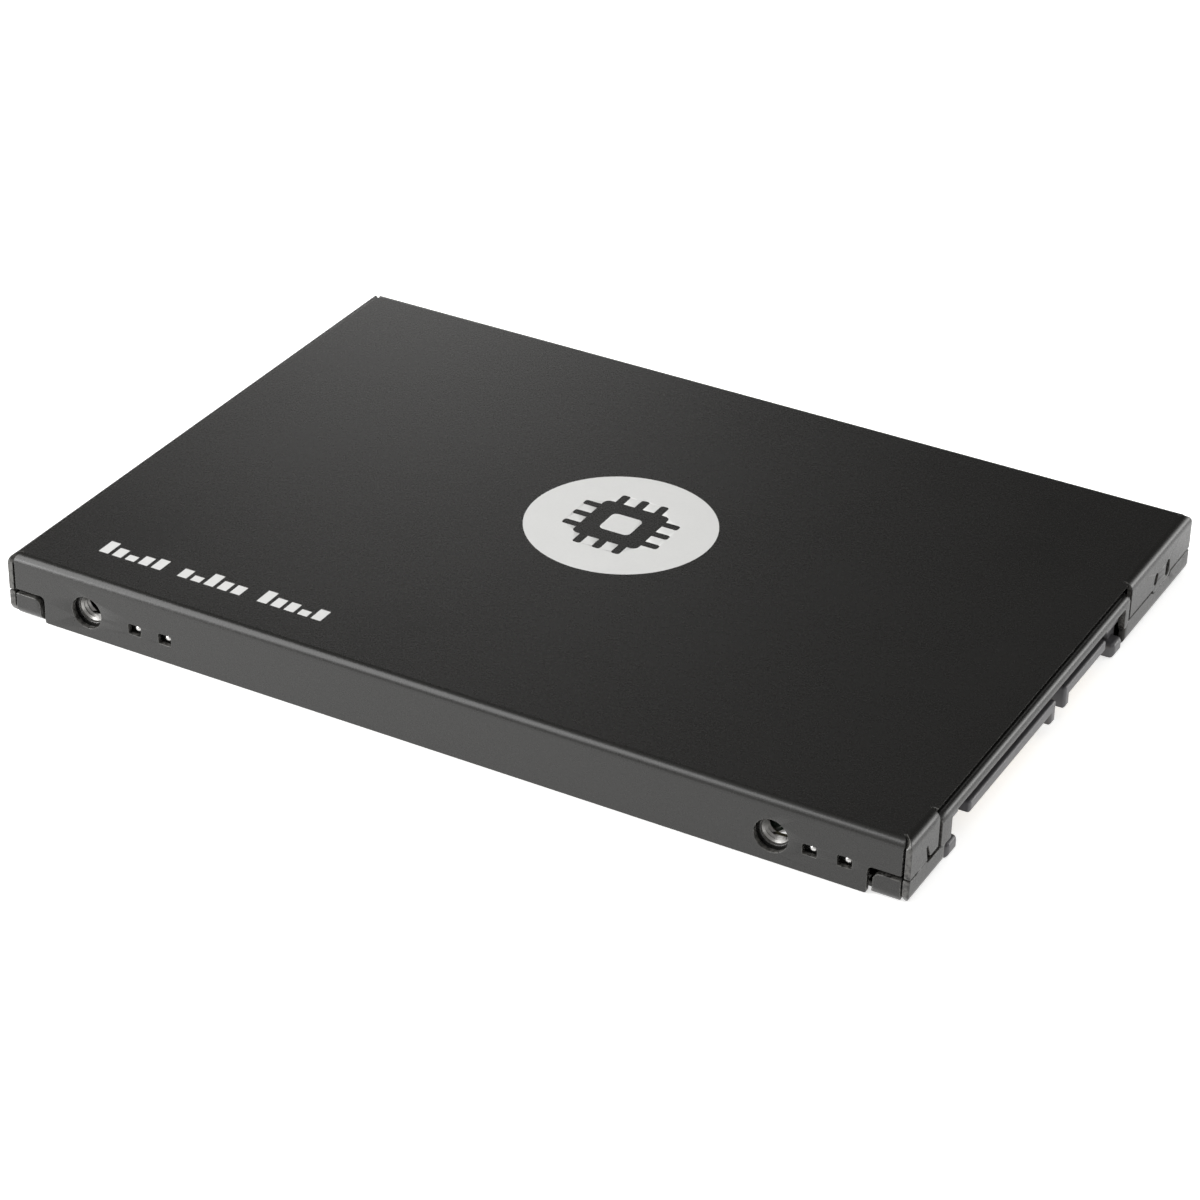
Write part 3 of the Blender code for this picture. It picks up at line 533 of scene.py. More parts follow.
PAINT = SatinPaint("satin_black_paint", Slot.CASE)
PLASTIC = MouldedPlastic("black_moulded_plastic", Slot.PLUG)
# The tray's one bare metal in two tones: this darker tone is painted shade for the threads
# inside the fixing holes.
BARE = CutMetal("bare_cut_metal", Slot.BARE, (0.34, 0.335, 0.325), (0.26, 0.42))
# This lighter tone of the same bare metal is painted light for the snap nubs that stand out in
# the windows.
BARE_METAL_PAINTED_LIGHT = CutMetal("bright_cut_metal", Slot.BARE, (0.48, 0.475, 0.465), (0.26, 0.38))
PLATED = CutMetal("bright_plating", Slot.STEEL, (0.70, 0.70, 0.68), (0.14, 0.26),
                  (1.0, 1.0, 6.0), 0.15)
SOLDER = CutMetal("solder", Slot.STEEL, (0.62, 0.62, 0.61), (0.12, 0.24), (1.0, 1.0, 1.0), 0.2)
GOLD = GoldPlate("gold_plate", Slot.GOLD)
LAMINATE = SolderMask("green_solder_mask", Slot.LAMINATE)
EPOXY = SoftSolid("chip_compound", Slot.EPOXY)
FERRITE = SoftSolid("ferrite", Slot.FERRITE, (0.06, 0.06, 0.062), (0.5, 0.7), 0.2, 0.01, 0.4)
TANTALUM = SoftSolid("ochre_case", Slot.CAPACITOR, (0.42, 0.24, 0.07), (0.4, 0.55), 0.2, 0.005,
                     0.15)
GEL = SoftSolid("gel_pad", Slot.PAD, (0.30, 0.36, 0.42), (0.75, 0.9), 0.5, 0.03, 0.12)
FILM = ThinFilm("insulating_film", Slot.FILM)
INK = ScreenInk("pale_ink", Slot.INK)
FAINT_INK = ScreenInk("grey_ink", Slot.INK, (0.33, 0.34, 0.35))
LABEL = LabelStock("label_stock", Slot.LABEL)
CERAMIC = SoftSolid("ceramic_body", Slot.CAPACITOR, (0.30, 0.22, 0.14), (0.35, 0.5), 0.2, 0.004,
                    0.2)
PAPER = PalePaper("pale_paper", Slot.LABEL)


# --------------------------------------------------------------------------- the bench


class Bench:
    """Turns shapes into finished pieces that ride on the drive's body."""

    def __init__(self) -> None:
        """Start with no pieces."""
        self.count = 0

    def loose(self, name: str, shape: bmesh.types.BMesh) -> bpy.types.Object:
        """Make an object from a shape in millimetres, and free the shape.

        Args:
            name: The object's name.
            shape: The shape.

        Returns:
            The object, with its mesh in metres.
        """
        bmesh.ops.scale(shape, vec=(MM, MM, MM), verts=shape.verts)
        mesh = bpy.data.meshes.new(name)
        shape.to_mesh(mesh)
        shape.free()
        thing = bpy.data.objects.new(name, mesh)
        bpy.context.scene.collection.objects.link(thing)
        return thing

    def settle(self, thing: bpy.types.Object) -> None:
        """Replace an object's mesh with its mesh after modifiers, and drop them."""
        graph = bpy.context.evaluated_depsgraph_get()
        mesh = bpy.data.meshes.new_from_object(thing.evaluated_get(graph),
                                               preserve_all_data_layers=True, depsgraph=graph)
        thing.modifiers.clear()
        thing.data = mesh
        mesh.name = thing.name

    def shade(self, thing: bpy.types.Object, sharp_angle: float = 50.0) -> None:
        """Shade smooth, with creases past an angle and flat faces that stay flat.

        Args:
            thing: The object.
            sharp_angle: The crease angle in degrees.
        """
        mesh = thing.data
        mesh.polygons.foreach_set("use_smooth", [True] * len(mesh.polygons))
        mesh.set_sharp_from_angle(angle=math.radians(sharp_angle))
        weigh = thing.modifiers.new("flat_faces", "WEIGHTED_NORMAL")
        weigh.mode = "FACE_AREA"
        weigh.weight = 50
        weigh.keep_sharp = True
        self.settle(thing)

    def ease(self, thing: bpy.types.Object, width: float, steps: int = 2,
             angle: float = 35.0) -> None:
        """Round every edge past an angle.

        Args:
            thing: The object.
            width: The rounding's width in millimetres.
            steps: How many facets it has.
            angle: The least angle that is rounded, in degrees.
        """
        bevel = thing.modifiers.new("eased_edges", "BEVEL")
        bevel.width = width * MM
        bevel.segments = steps
        bevel.limit_method = "ANGLE"
        bevel.angle_limit = math.radians(angle)
        bevel.miter_outer = "MITER_ARC"
        self.settle(thing)

    def place(self, thing: bpy.types.Object, finish: Finish,
              stands_for: Iterable[str] = ()) -> None:
        """Dress an object and fix it to the drive.

        Args:
            thing: The object.
            finish: Its finish.
            stands_for: The frame's nodes that it replaces.
        """
        thing.data.materials.clear()
        thing.data.materials.append(finish.material())
        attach(thing, ROOT)
        nodes = tuple(stands_for)
        if nodes:
            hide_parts(*nodes)
        self.count += 1
        LOG.info("%s: %d faces, %s", thing.name, len(thing.data.polygons), finish.name)

    def make(self, name: str, shape: bmesh.types.BMesh, finish: Finish,
             stands_for: Iterable[str] = (), rounding: float = 0.0) -> None:
        """Turn a shape into a finished piece.

        Args:
            name: The piece's name.
            shape: Its shape in millimetres.
            finish: Its finish.
            stands_for: The frame's nodes that it replaces.
            rounding: The width of its eased edges, or none.
        """
        thing = self.loose(name, shape)
        if rounding:
            self.ease(thing, rounding)
        self.shade(thing)
        self.place(thing, finish, stands_for)

    def dress(self, node: str, finish: Finish) -> None:
        """Give one of the frame's own nodes a finish.

        Args:
            node: The node's name.
            finish: Its finish.
        """
        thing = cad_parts[node]
        for place in thing.material_slots:
            place.material = finish.material()
        if not thing.material_slots:
            thing.data.materials.append(finish.material())
        LOG.info("%s: carried over, %s", node, finish.name)


@dataclass(frozen=True)
class Span:
    """A box in millimetres, from its lowest to its highest corner."""

    low: Vector
    high: Vector

    @classmethod
    def of_node(cls, node: str) -> "Span":
        """Return the box of one of the frame's nodes."""
        low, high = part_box(node)
        return cls(low / MM, high / MM)

    @property
    def middle(self) -> Vector:
        """Return the box's centre."""
        return (self.low + self.high) / 2


# --------------------------------------------------------------------------- flat outlines


def rounded(points: Sequence[Point], steps: int = 5) -> Loop:
    """Turn a list of corners, each with an optional third value as its radius, into a loop.

    Args:
        points: The corners.
        steps: How many facets a rounded corner has.

    Returns:
        The loop.
    """
    loop: Loop = []
    for number, point in enumerate(points):
        here = Vector(point[:2])
        radius = point[2] if len(point) > 2 else 0.0
        if not radius:
            loop.append(here)
            continue
        back = (Vector(points[number - 1][:2]) - here).normalized()
        ahead = (Vector(points[(number + 1) % len(points)][:2]) - here).normalized()
        half = back.angle(ahead) / 2
        reach = radius / math.tan(half)
        centre = here + (back + ahead).normalized() * (radius / math.sin(half))
        first = here + back * reach - centre
        last = here + ahead * reach - centre
        start = math.atan2(first.y, first.x)
        turn = math.atan2(last.y, last.x) - start
        turn = (turn + math.pi) % (2 * math.pi) - math.pi
        for step in range(steps + 1):
            angle = start + turn * step / steps
            loop.append(centre + Vector((math.cos(angle), math.sin(angle))) * radius)
    return loop


def circle(centre: Point, radius: float, sides: int = 48) -> Loop:
    """Return a circle as a loop.

    Args:
        centre: Its centre.
        radius: Its radius.
        sides: How many sides it has.

    Returns:
        The loop.
    """
    return [Vector((centre[0] + radius * math.cos(2 * math.pi * step / sides),
                    centre[1] + radius * math.sin(2 * math.pi * step / sides)))
            for step in range(sides)]


def oblong(centre: Point, length: float, width: float, lean: float, steps: int = 8) -> Loop:
    """Return a slot with round ends as a loop.

    Args:
        centre: Its centre.
        length: Its length over the ends.
        width: Its width.
        lean: The turn of its length from the first axis, in radians.
        steps: How many facets each end has.

    Returns:
        The loop.
    """
    loop: Loop = []
    along = Vector((math.cos(lean), math.sin(lean)))
    for end in (1, -1):
        core = Vector(centre[:2]) + along * end * (length - width) / 2
        for step in range(steps + 1):
            angle = lean + (0.0 if end == 1 else math.pi) - HALF_PI + math.pi * step / steps
            loop.append(core + Vector((math.cos(angle), math.sin(angle))) * width / 2)
    return loop


def area(loop: Loop) -> float:
    """Return a loop's signed area."""
    return sum(loop[n - 1].x * loop[n].y - loop[n].x * loop[n - 1].y
               for n in range(len(loop))) / 2


def inside(point: Vector, loop: Loop) -> bool:
    """Tell whether a point is inside a loop."""
    found = False
    for number, here in enumerate(loop):
        back = loop[number - 1]
        if (here.y > point.y) != (back.y > point.y):
            crossing = (back.x - here.x) * (point.y - here.y) / (back.y - here.y) + here.x
            if point.x < crossing:
                found = not found
    return found


def inset(loop: Loop, distance: float) -> Loop:
    """Move a loop into the material on its left.

    Args:
        loop: The loop.
        distance: How far it moves.

    Returns:
        The moved loop.
    """
    moved: Loop = []
    for number, here in enumerate(loop):
        back = (here - loop[number - 1]).normalized()
        ahead = (loop[(number + 1) % len(loop)] - here).normalized()
        first, second = Vector((-back.y, back.x)), Vector((-ahead.y, ahead.x))
        share = max(1.0 + first.dot(second), 0.3)
        moved.append(here + (first + second) * (distance / share))
    return moved


@dataclass
class FlatBlank:
    """A flat blank of sheet with rounded rims: one outline, any holes, one thickness."""

    outline: Loop
    holes: list[Loop]
    thickness: float
    rim: float
    rim_steps: int = 2

    def _loops(self) -> list[Loop]:
        """Return the outline anticlockwise and the holes clockwise."""
        outline = self.outline if area(self.outline) > 0 else self.outline[::-1]
        return [outline] + [h if area(h) < 0 else h[::-1] for h in self.holes]

    def _levels(self) -> list[tuple[float, float]]:
        """Return the rim's profile as insets and depths."""
        turns = [HALF_PI * step / self.rim_steps for step in range(self.rim_steps + 1)]
        near = [(self.rim * (1 - math.sin(a)), self.rim * (1 - math.cos(a))) for a in turns]
        return near + [(d, self.thickness - w) for d, w in reversed(near)]

    def solid(self) -> bmesh.types.BMesh:
        """Return the blank as a closed shape whose depth runs along +Z."""
        shape = bmesh.new()
        rim = shape.faces.layers.float.new("rim")
        loops = self._loops()
        levels = self._levels()
        rings = [[[shape.verts.new((p.x, p.y, depth)) for p in inset(loop, moved)]
                  for moved, depth in levels] for loop in loops]
        for ring in rings:
            for upper, lower in zip(ring, ring[1:]):
                for number in range(len(upper)):
                    face = shape.faces.new((upper[number - 1], upper[number],
                                            lower[number], lower[number - 1]))
                    face[rim] = 1.0
        for level in (0, -1):
            self._skin(shape, loops, [ring[level] for ring in rings])
        bmesh.ops.recalc_face_normals(shape, faces=shape.faces)
        return shape

    @staticmethod
    def _skin(shape: bmesh.types.BMesh, loops: list[Loop],
              rings: list[list[bmesh.types.BMVert]]) -> None:
        """Fill one face of the blank between its rings of vertices."""
        verts = [vert for ring in rings for vert in ring]
        edges, start = [], 0
        for ring in rings:
            count = len(ring)
            edges += [(start + n, start + (n + 1) % count) for n in range(count)]
            start += count
        flat = [vert.co.to_2d() for vert in verts]
        bounds = [[vert.co.to_2d() for vert in ring] for ring in rings]
        _, _, faces, origins, _, _ = delaunay_2d_cdt(flat, edges, [], 0, 1e-6)
        for face in faces:
            corners = [verts[origins[index][0]] for index in face]
            centre = sum((c.co.to_2d() for c in corners), Vector((0.0, 0.0))) / len(corners)
            if inside(centre, bounds[0]) and not any(inside(centre, h) for h in bounds[1:]):
                shape.faces.new(corners)


def slice_along(shape: bmesh.types.BMesh, axis: int, values: Iterable[float]) -> None:
    """Cut every face where it crosses some planes, so that it can be bent there.

    Args:
        shape: The shape.
        axis: The axis that the planes are square to.
        values: Where they cross it.
    """
    normal = Vector([1.0 if number == axis else 0.0 for number in range(3)])
    for value in values:
        bmesh.ops.bisect_plane(shape, geom=[*shape.verts, *shape.edges, *shape.faces],
                               dist=1e-5, plane_co=normal * value, plane_no=normal)


@dataclass(frozen=True)
class FoldPath:
    """The side profile of a flange: bends, each by a radius, and straights, by a length."""

    steps: tuple[tuple[str, float], ...]

    def at(self, run: float, depth: float) -> tuple[float, float]:
        """Return how far out and how far in a point of the flange lies.

        Args:
            run: Its distance along the outer face from the first bend's start.
            depth: Its depth below the outer face.

        Returns:
            Its distances along and square to the flat part.
        """
        here, ahead, inward = Vector((0.0, 0.0)), Vector((1.0, 0.0)), Vector((0.0, 1.0))
        for kind, size in self.steps:
            length = size * HALF_PI if kind == "bend" else size
            used = min(run, length)
            if kind == "bend":
                angle = used / size
                centre = here + inward * size
                turned = inward * math.cos(angle) - ahead * math.sin(angle)
                ahead = ahead * math.cos(angle) + inward * math.sin(angle)
                inward = turned
                here = centre - inward * size
            else:
                here = here + ahead * used
            run -= used
            if run <= 0:
                break
        else:
            here = here + ahead * run
        found = here + inward * depth
        return found.x, found.y

    def lines(self, steps: int = 10) -> list[float]:
        """Return the runs where the flange has to be cut before it is bent.

        Args:
            steps: How many facets a bend has.

        Returns:
            The runs.
        """
        found, run = [], 0.0
        for kind, size in self.steps:
            length = size * HALF_PI if kind == "bend" else size
            if kind == "bend":
                found += [run + length * step / steps for step in range(steps + 1)]
            run += length
        return found


@dataclass
class CaseBox:
    """The whole drive's box and the places that both covers share."""

    end_x: float
    side_y: float
    top_z: float
    hole_stations: tuple[float, float] = (14.0, 90.6)
    hole_z: float = 3.0
    base_hole_y: float = 30.86
    window_stations: tuple[float, ...] = (6.5, 10.05, 81.2, 84.8)
    window_z: float = 2.75
    inner_y: float = 34.025
    corner_gap: float = 0.84
    edge_gap: float = 0.03
    end_root_gap: float = 0.14
    side_root_gap: float = 0.2

    @classmethod
    def from_frame(cls) -> "CaseBox":
        """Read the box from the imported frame."""
        _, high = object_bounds()
        return cls(high.x / MM, high.y / MM, high.z / MM)

    def hole_x(self) -> list[float]:
        """Return where the fixing holes lie along the drive."""
        return [self.end_x - station for station in self.hole_stations]

    def window_x(self) -> list[float]:
        """Return where the snap windows lie along the drive."""
        return [self.end_x - station for station in self.window_stations]


class FoldedSheet(ABC):
    """A pressed sheet: a flat blank with flanges on its sides and ends, then folded.

    The blank is drawn flat, with U along the drive and V across it, and each flange
    starts where its first bend does, at flat_u or flat_v.
    """

    case: CaseBox
    sheet: float
    bend: float
    rim: float
    flat_u: float
    flat_v: float
    bend_steps: int = 10
    root_overlap: float = 0.1
    seam_round: float = 0.15
    tip_round: float = 0.12

    @abstractmethod
    def reach(self, z: float) -> float:
        """Return the run along a flange from its first bend to a height."""

    @abstractmethod
    def end_run(self) -> float:
        """Return how far out the end flanges reach in the blank."""

    @abstractmethod
    def front_points(self, end: float, edge_v: float) -> list[Point]:
        """Return the connector end's edge between its corners, from the near side."""

    @abstractmethod
    def side_points(self) -> list[Point]:
        """Return the far side's edge between its corners, from the front."""

    @abstractmethod
    def openings(self) -> list[Loop]:
        """Return the blank's holes."""

    @abstractmethod
    def fold(self, point: Vector) -> Vector:
        """Return where a point of the blank goes."""

    @abstractmethod
    def cuts(self) -> tuple[list[float], list[float]]:
        """Return where the blank is cut for its bends, along X and along Y."""

    def corner(self, flat: float, other_flat: float, start_gap: float, end_gap: float,
               steps: int = 8) -> list[Point]:
        """Return the edge of a flange beside a corner, from the flat part outward.

        Args:
            flat: Where the flange's own bend starts.
            other_flat: Where the neighbouring flange's bend starts.
            start_gap: How far the edge keeps from the corner line at the bend's start.
            end_gap: How far it keeps at the bend's end.
            steps: How many points it has.

        Returns:
            Points as (along the flange's run, across it).
        """
        points: list[Point] = [(flat - self.root_overlap,
                                other_flat - self.root_overlap - start_gap)]
        for step in range(steps + 1):
            share = step / steps
            gap = start_gap + (end_gap - start_gap) * share
            points.append((flat + self.bend * HALF_PI * share,
                           other_flat + self.bend * math.sin(HALF_PI * share) - gap))
        return points

    def outline(self) -> Loop:
        """Return the blank's outline, anticlockwise from the near front corner."""
        box = self.case
        far = self.corner(self.flat_u, self.flat_v, box.end_root_gap, box.edge_gap)[::-1]
        near = [(u, -v) for u, v in reversed(far)]
        root = [(v, u) for u, v in self.corner(self.flat_v, self.flat_u, box.side_root_gap,
                                               box.corner_gap)]
        end, edge_v = self.end_run(), box.side_y - box.edge_gap
        rear = near + [(end, -edge_v), (end, edge_v)] + far
        side = root + self.side_points() + [(-u, v) for u, v in reversed(root)]
        points = near + self.front_points(end, edge_v) + far + side
        points += [(-u, v) for u, v in reversed(rear)]
        points += [(u, -v, *radius) for u, v, *radius in reversed(side)]
        return rounded(points)

    def build(self) -> bmesh.types.BMesh:
        """Return the folded sheet."""
        shape = FlatBlank(self.outline(), self.openings(), self.sheet, self.rim).solid()
        for axis, values in enumerate(self.cuts()):
            slice_along(shape, axis, [v * sign for v in values for sign in (-1, 1)])
        for vert in shape.verts:
            vert.co = self.fold(vert.co)
        bmesh.ops.recalc_face_normals(shape, faces=shape.faces)
        return shape


@dataclass
class TopCover(FoldedSheet):
    """The top cover: the plate, both long sides, the rear wall and the two front flaps."""

    case: CaseBox
    sheet: float = 0.6
    bend: float = 1.0
    rim: float = 0.05
    lip_z: float = 0.15
    lip_round: float = 0.2
    seam_z: float = 2.95
    notch_z: float = 3.15
    notch_x: tuple[float, float] = (45.9, -45.75)
    notch_round: float = 0.5
    mouth_y: tuple[float, float] = (-28.7, 18.2)
    plate_edge: float = 49.78
    plate_round: float = 0.1
    lean: float = 0.62
    lean_width: float = 0.25
    relief: float = 0.22
    relief_x: float = 49.15
    tongue_y: tuple[float, float] = (25.0, 29.0)
    tongue_z: float = 2.45
    tongue_flare: float = 0.5
    slit_y: float = -31.45
    slit_foot_y: float = -31.03
    slit_top: float = 4.6
    slit_width: float = 0.42
    slit_point: float = 0.1
    hook_y: float = -30.4
    hook_rise: float = 0.45
    flap_rise: float = 0.12
    hole_radius: float = 1.77
    hole_sides: int = 56
    window: tuple[float, float] = (1.5, 1.15)
    window_round: float = 0.14
    slots: tuple[Point, ...] = ((25.25, 3.95, 1.35, 0.90, 0.30), (28.5, 3.74, 1.85, 1.05, 0.05))

    def __post_init__(self) -> None:
        """Work out where the bends start, and the flanges' profile."""
        self.flat_u = self.case.end_x - self.bend
        self.flat_v = self.case.side_y - self.bend
        self.path = FoldPath((("bend", self.bend), ("straight", LONG)))

    def reach(self, z: float) -> float:
        """Return the run down a flange from its bend to a height."""
        return self.bend * HALF_PI + self.case.top_z - self.bend - z

    def end_run(self) -> float:
        """Return how far out the rear wall and the flaps reach in the blank."""
        return self.flat_u + self.reach(self.seam_z)

    def front_points(self, end: float, edge_v: float) -> list[Point]:
        """Return the flaps' edge: the hooked slit, the plug's mouth and the tongue."""
        slit = self.flat_u + self.reach(self.slit_top)
        tongue = self.flat_u + self.reach(self.tongue_z)
        blunt, wide, flap = slit + self.slit_point, self.slit_width, end - self.flap_rise
        (low, high), (near, far) = self.mouth_y, self.tongue_y
        hook = [(end, self.slit_foot_y, self.slit_point), (blunt, self.slit_y),
                (slit, self.slit_y + wide / 2), (blunt, self.slit_y + wide),
                (end - self.hook_rise, self.slit_foot_y + wide, self.seam_round),
                (flap, self.hook_y)]
        mouth = [(flap, low, self.seam_round), (self.relief_x, low),
                 (self.relief_x, low + self.relief),
                 (self.plate_edge, low + self.relief, self.plate_round),
                 (self.plate_edge, high - self.relief, self.plate_round),
                 (self.relief_x, high - self.relief), (self.relief_x, high),
                 (end, high, self.seam_round)]
        tip = [(end, near - self.tongue_flare), (tongue, near, self.seam_round),
               (tongue, far, self.seam_round), (end, far + self.tongue_flare)]
        return ([(end, -edge_v, self.seam_round)] + hook + mouth + tip
                + [(end, edge_v, self.seam_round)])

    def side_points(self) -> list[Point]:
        """Return the long side's edge, with a notch over each of the tray's corner tabs."""
        notch = self.flat_v + self.reach(self.notch_z)
        lip = self.flat_v + self.reach(self.lip_z)
        end = self.case.end_x - self.case.corner_gap
        front, rear = self.notch_x
        return [(end, notch, self.tip_round), (front, notch, self.notch_round),
                (front, lip, self.lip_round), (rear, lip, self.lip_round),
                (rear, notch, self.notch_round), (-end, notch, self.tip_round)]

    def openings(self) -> list[Loop]:
        """Return the clearance holes, the snap windows and the two slots by the tongue."""
        found: list[Loop] = []
        wide, high = self.window
        for side in (-1, 1):
            level = self.flat_v + self.reach(self.case.hole_z)
            found += [circle((x, side * level), self.hole_radius, self.hole_sides)
                      for x in self.case.hole_x()]
            level = self.flat_v + self.reach(self.case.window_z)
            for x in self.case.window_x():
                found.append(rounded([(x + a * wide / 2, side * level + b * high / 2,
                                       self.window_round) for a, b in SQUARE], 3))
        for y, z, length, width, lean in self.slots:
            found.append(oblong((self.flat_u + self.reach(z), y), length, width,
                                math.pi - lean))
        return found

    def cuts(self) -> tuple[list[float], list[float]]:
        """Return where the blank is cut for its bends."""
        lines = self.path.lines(self.bend_steps)
        return [self.flat_u + r for r in lines], [self.flat_v + r for r in lines]

    def fold(self, point: Vector) -> Vector:
        """Return where a point of the blank goes."""
        u, v, depth = point
        over_u, over_v = abs(u) - self.flat_u, abs(v) - self.flat_v
        low, high = self.mouth_y
        in_mouth = u > 0 and low + self.relief / 2 < v < high - self.relief / 2
        if over_u > 0 and over_u >= over_v and not in_mouth:
            out, drop = self.path.at(over_u, depth)
            return Vector((math.copysign(self.flat_u + out, u), v, self.case.top_z - drop))
        if over_v > 0 and not in_mouth:
            out, drop = self.path.at(over_v, depth)
            return Vector((u, math.copysign(self.flat_v + out, v), self.case.top_z - drop))
        if u > self.plate_edge - self.lean_width:
            u -= depth * self.lean
        return Vector((u, v, self.case.top_z - depth))


@dataclass
class Tray(FoldedSheet):
    """The tray: floor, low end walls, corner tabs, inner side walls and the plug's frame."""

    case: CaseBox
    sheet: float = 0.7
    bend: float = 1.2
    rim: float = 0.085
    lip_z: float = 2.76
    tab_z: float = 2.65
    tab_x: tuple[float, float] = (46.45, -46.3)
    tab_round: float = 0.75
    inner_reach: float = 44.8
    inner_z: float = 5.6
    inner_round: float = 0.6
    frame_y: tuple[float, float] = (-28.0, 17.9)
    frame_z: float = 5.9
    frame_bend: float = 0.8
    frame_round: float = 0.18
    flange_x: float = 47.9
    flange_round: float = 0.4
    bay_x: float = 44.2
    bay_round: float = 0.5
    window_wide: tuple[float, float] = (-27.1, 17.3)
    window_wide_z: float = 2.3
    window_high: tuple[float, float] = (-25.65, 16.8)
    window_high_z: float = 4.75
    window_round: float = 0.3
    catch_y: tuple[float, float] = (24.80, 29.20)
    catch_z: float = 2.41
    catch_ramp: float = 0.5
    bore_radius: float = 1.5
    bore_sides: int = 48
    closed_lip: tuple[float, float] = (-33.2, -31.3)
    closed_rise: float = 0.185
    closed_ramp: float = 0.3
    open_lip: tuple[float, float] = (-30.8, 2.55)
    root_flare: float = 0.32
    root_heights: tuple[float, float] = (0.8, 1.5)
    root_depth: float = 0.15
    root_round: float = 0.2
    root_widths: tuple[float, float] = (1.0, 0.9)

    def __post_init__(self) -> None:
        """Work out where the bends start, and the flanges' profiles."""
        self.flat_u = self.case.end_x - self.bend
        self.flat_v = self.case.side_y - self.bend
        self.inner_v = self.case.inner_y - self.bend
        rise = self.frame_z - self.frame_bend - self.bend
        self.side_path = FoldPath((("bend", self.bend), ("straight", LONG)))
        self.end_path = FoldPath((("bend", self.bend), ("straight", rise),
                                  ("bend", self.frame_bend), ("straight", LONG)))

    def reach(self, z: float) -> float:
        """Return the run up a flange from its bend to a height."""
        return self.bend * HALF_PI + z - self.bend

    def end_run(self) -> float:
        """Return how far out the low end walls reach in the blank."""
        return self.flat_u + self.reach(self.lip_z)

    def front_points(self, end: float, edge_v: float) -> list[Point]:
        """Return the low wall's edge, with the raised frame round the plug and the catch."""
        high, (open_y, open_z) = end + self.closed_rise, self.open_lip
        deep = self.flat_u + self.reach(open_z)
        catch = self.flat_u + self.reach(self.catch_z)
        flange = (self.flat_u + self.reach(self.frame_z - self.frame_bend)
                  + self.frame_bend * HALF_PI
                  + self.case.end_x - self.frame_bend - self.flange_x)
        (low_y, high_y), (near, far) = self.frame_y, self.catch_y
        left, right = self.closed_lip
        lip = [(end, -edge_v, self.seam_round), (end, left - self.closed_ramp), (high, left),
               (high, right), (deep, open_y)]
        raised = [(deep, low_y, self.frame_round), (flange, low_y, self.flange_round),
                  (flange, high_y, self.flange_round), (end, high_y, self.frame_round)]
        dip = [(end, near - self.catch_ramp), (catch, near, self.frame_round),
               (catch, far, self.frame_round), (end, far + self.catch_ramp)]
        return lip + raised + dip + [(end, edge_v, self.seam_round)]

    def side_points(self) -> list[Point]:
        """Return the side's edge: a corner tab at each end and the inner wall between."""
        end = self.case.end_x - self.case.corner_gap
        tab = self.flat_v + self.reach(self.tab_z)
        wall = self.inner_v + self.reach(self.inner_z)
        step, base = self.flat_v - self.root_depth, self.inner_v - self.root_depth
        low, high = self.root_heights
        points: list[Point] = []
        for way, edge, width in zip((1, -1), self.tab_x, self.root_widths):
            flare, root = edge - way * self.root_flare, edge - way * width
            half = [(way * end, tab, self.tip_round), (edge, tab, self.tab_round),
                    (edge, step + high), (flare, step + low), (flare, step),
                    (root, step, self.root_round), (root, base),
                    (way * self.inner_reach, base),
                    (way * self.inner_reach, wall, self.inner_round)]
            points += half if way > 0 else half[::-1]
        return points

    def openings(self) -> list[Loop]:
        """Return the plug's window with the bay behind it, and the fixing holes."""
        wide_end = self.flat_u + self.reach(self.window_wide_z)
        high_end = self.flat_u + self.reach(self.window_high_z)
        (near, far), (left, right) = self.window_wide, self.window_high
        shoulder, top = self.seam_round, self.window_round
        found = [rounded([(self.bay_x, near, self.bay_round), (wide_end, near, shoulder),
                          (wide_end, left, shoulder), (high_end, left, top),
                          (high_end, right, top), (wide_end, right, shoulder),
                          (wide_end, far, shoulder), (self.bay_x, far, self.bay_round)])]
        for side in (-1, 1):
            level = self.inner_v + self.reach(self.case.hole_z)
            for x in self.case.hole_x():
                for y in (level, self.case.base_hole_y):
                    found.append(circle((x, side * y), self.bore_radius, self.bore_sides))
        return found

    def cuts(self) -> tuple[list[float], list[float]]:
        """Return where the blank is cut for its bends."""
        ends = [self.flat_u + run for run in self.end_path.lines(self.bend_steps)]
        runs = self.side_path.lines(self.bend_steps)
        return ends, [start + run for run in runs for start in (self.flat_v, self.inner_v)]

    def fold(self, point: Vector) -> Vector:
        """Return where a point of the blank goes."""
        u, v, depth = point
        on_tab = abs(u) > self.inner_reach + self.inner_round
        start_v = self.flat_v if on_tab else self.inner_v
        over_u, over_v = abs(u) - self.flat_u, abs(v) - start_v
        if over_u > 0 and over_u >= over_v:
            out, rise = self.end_path.at(over_u, depth)
            return Vector((math.copysign(self.flat_u + out, u), v, rise))
        if over_v > 0:
            out, rise = self.side_path.at(over_v, depth)
            return Vector((u, math.copysign(start_v + out, v), rise))
        return Vector((u, v, depth))


# --------------------------------------------------------------------------- geometry trees


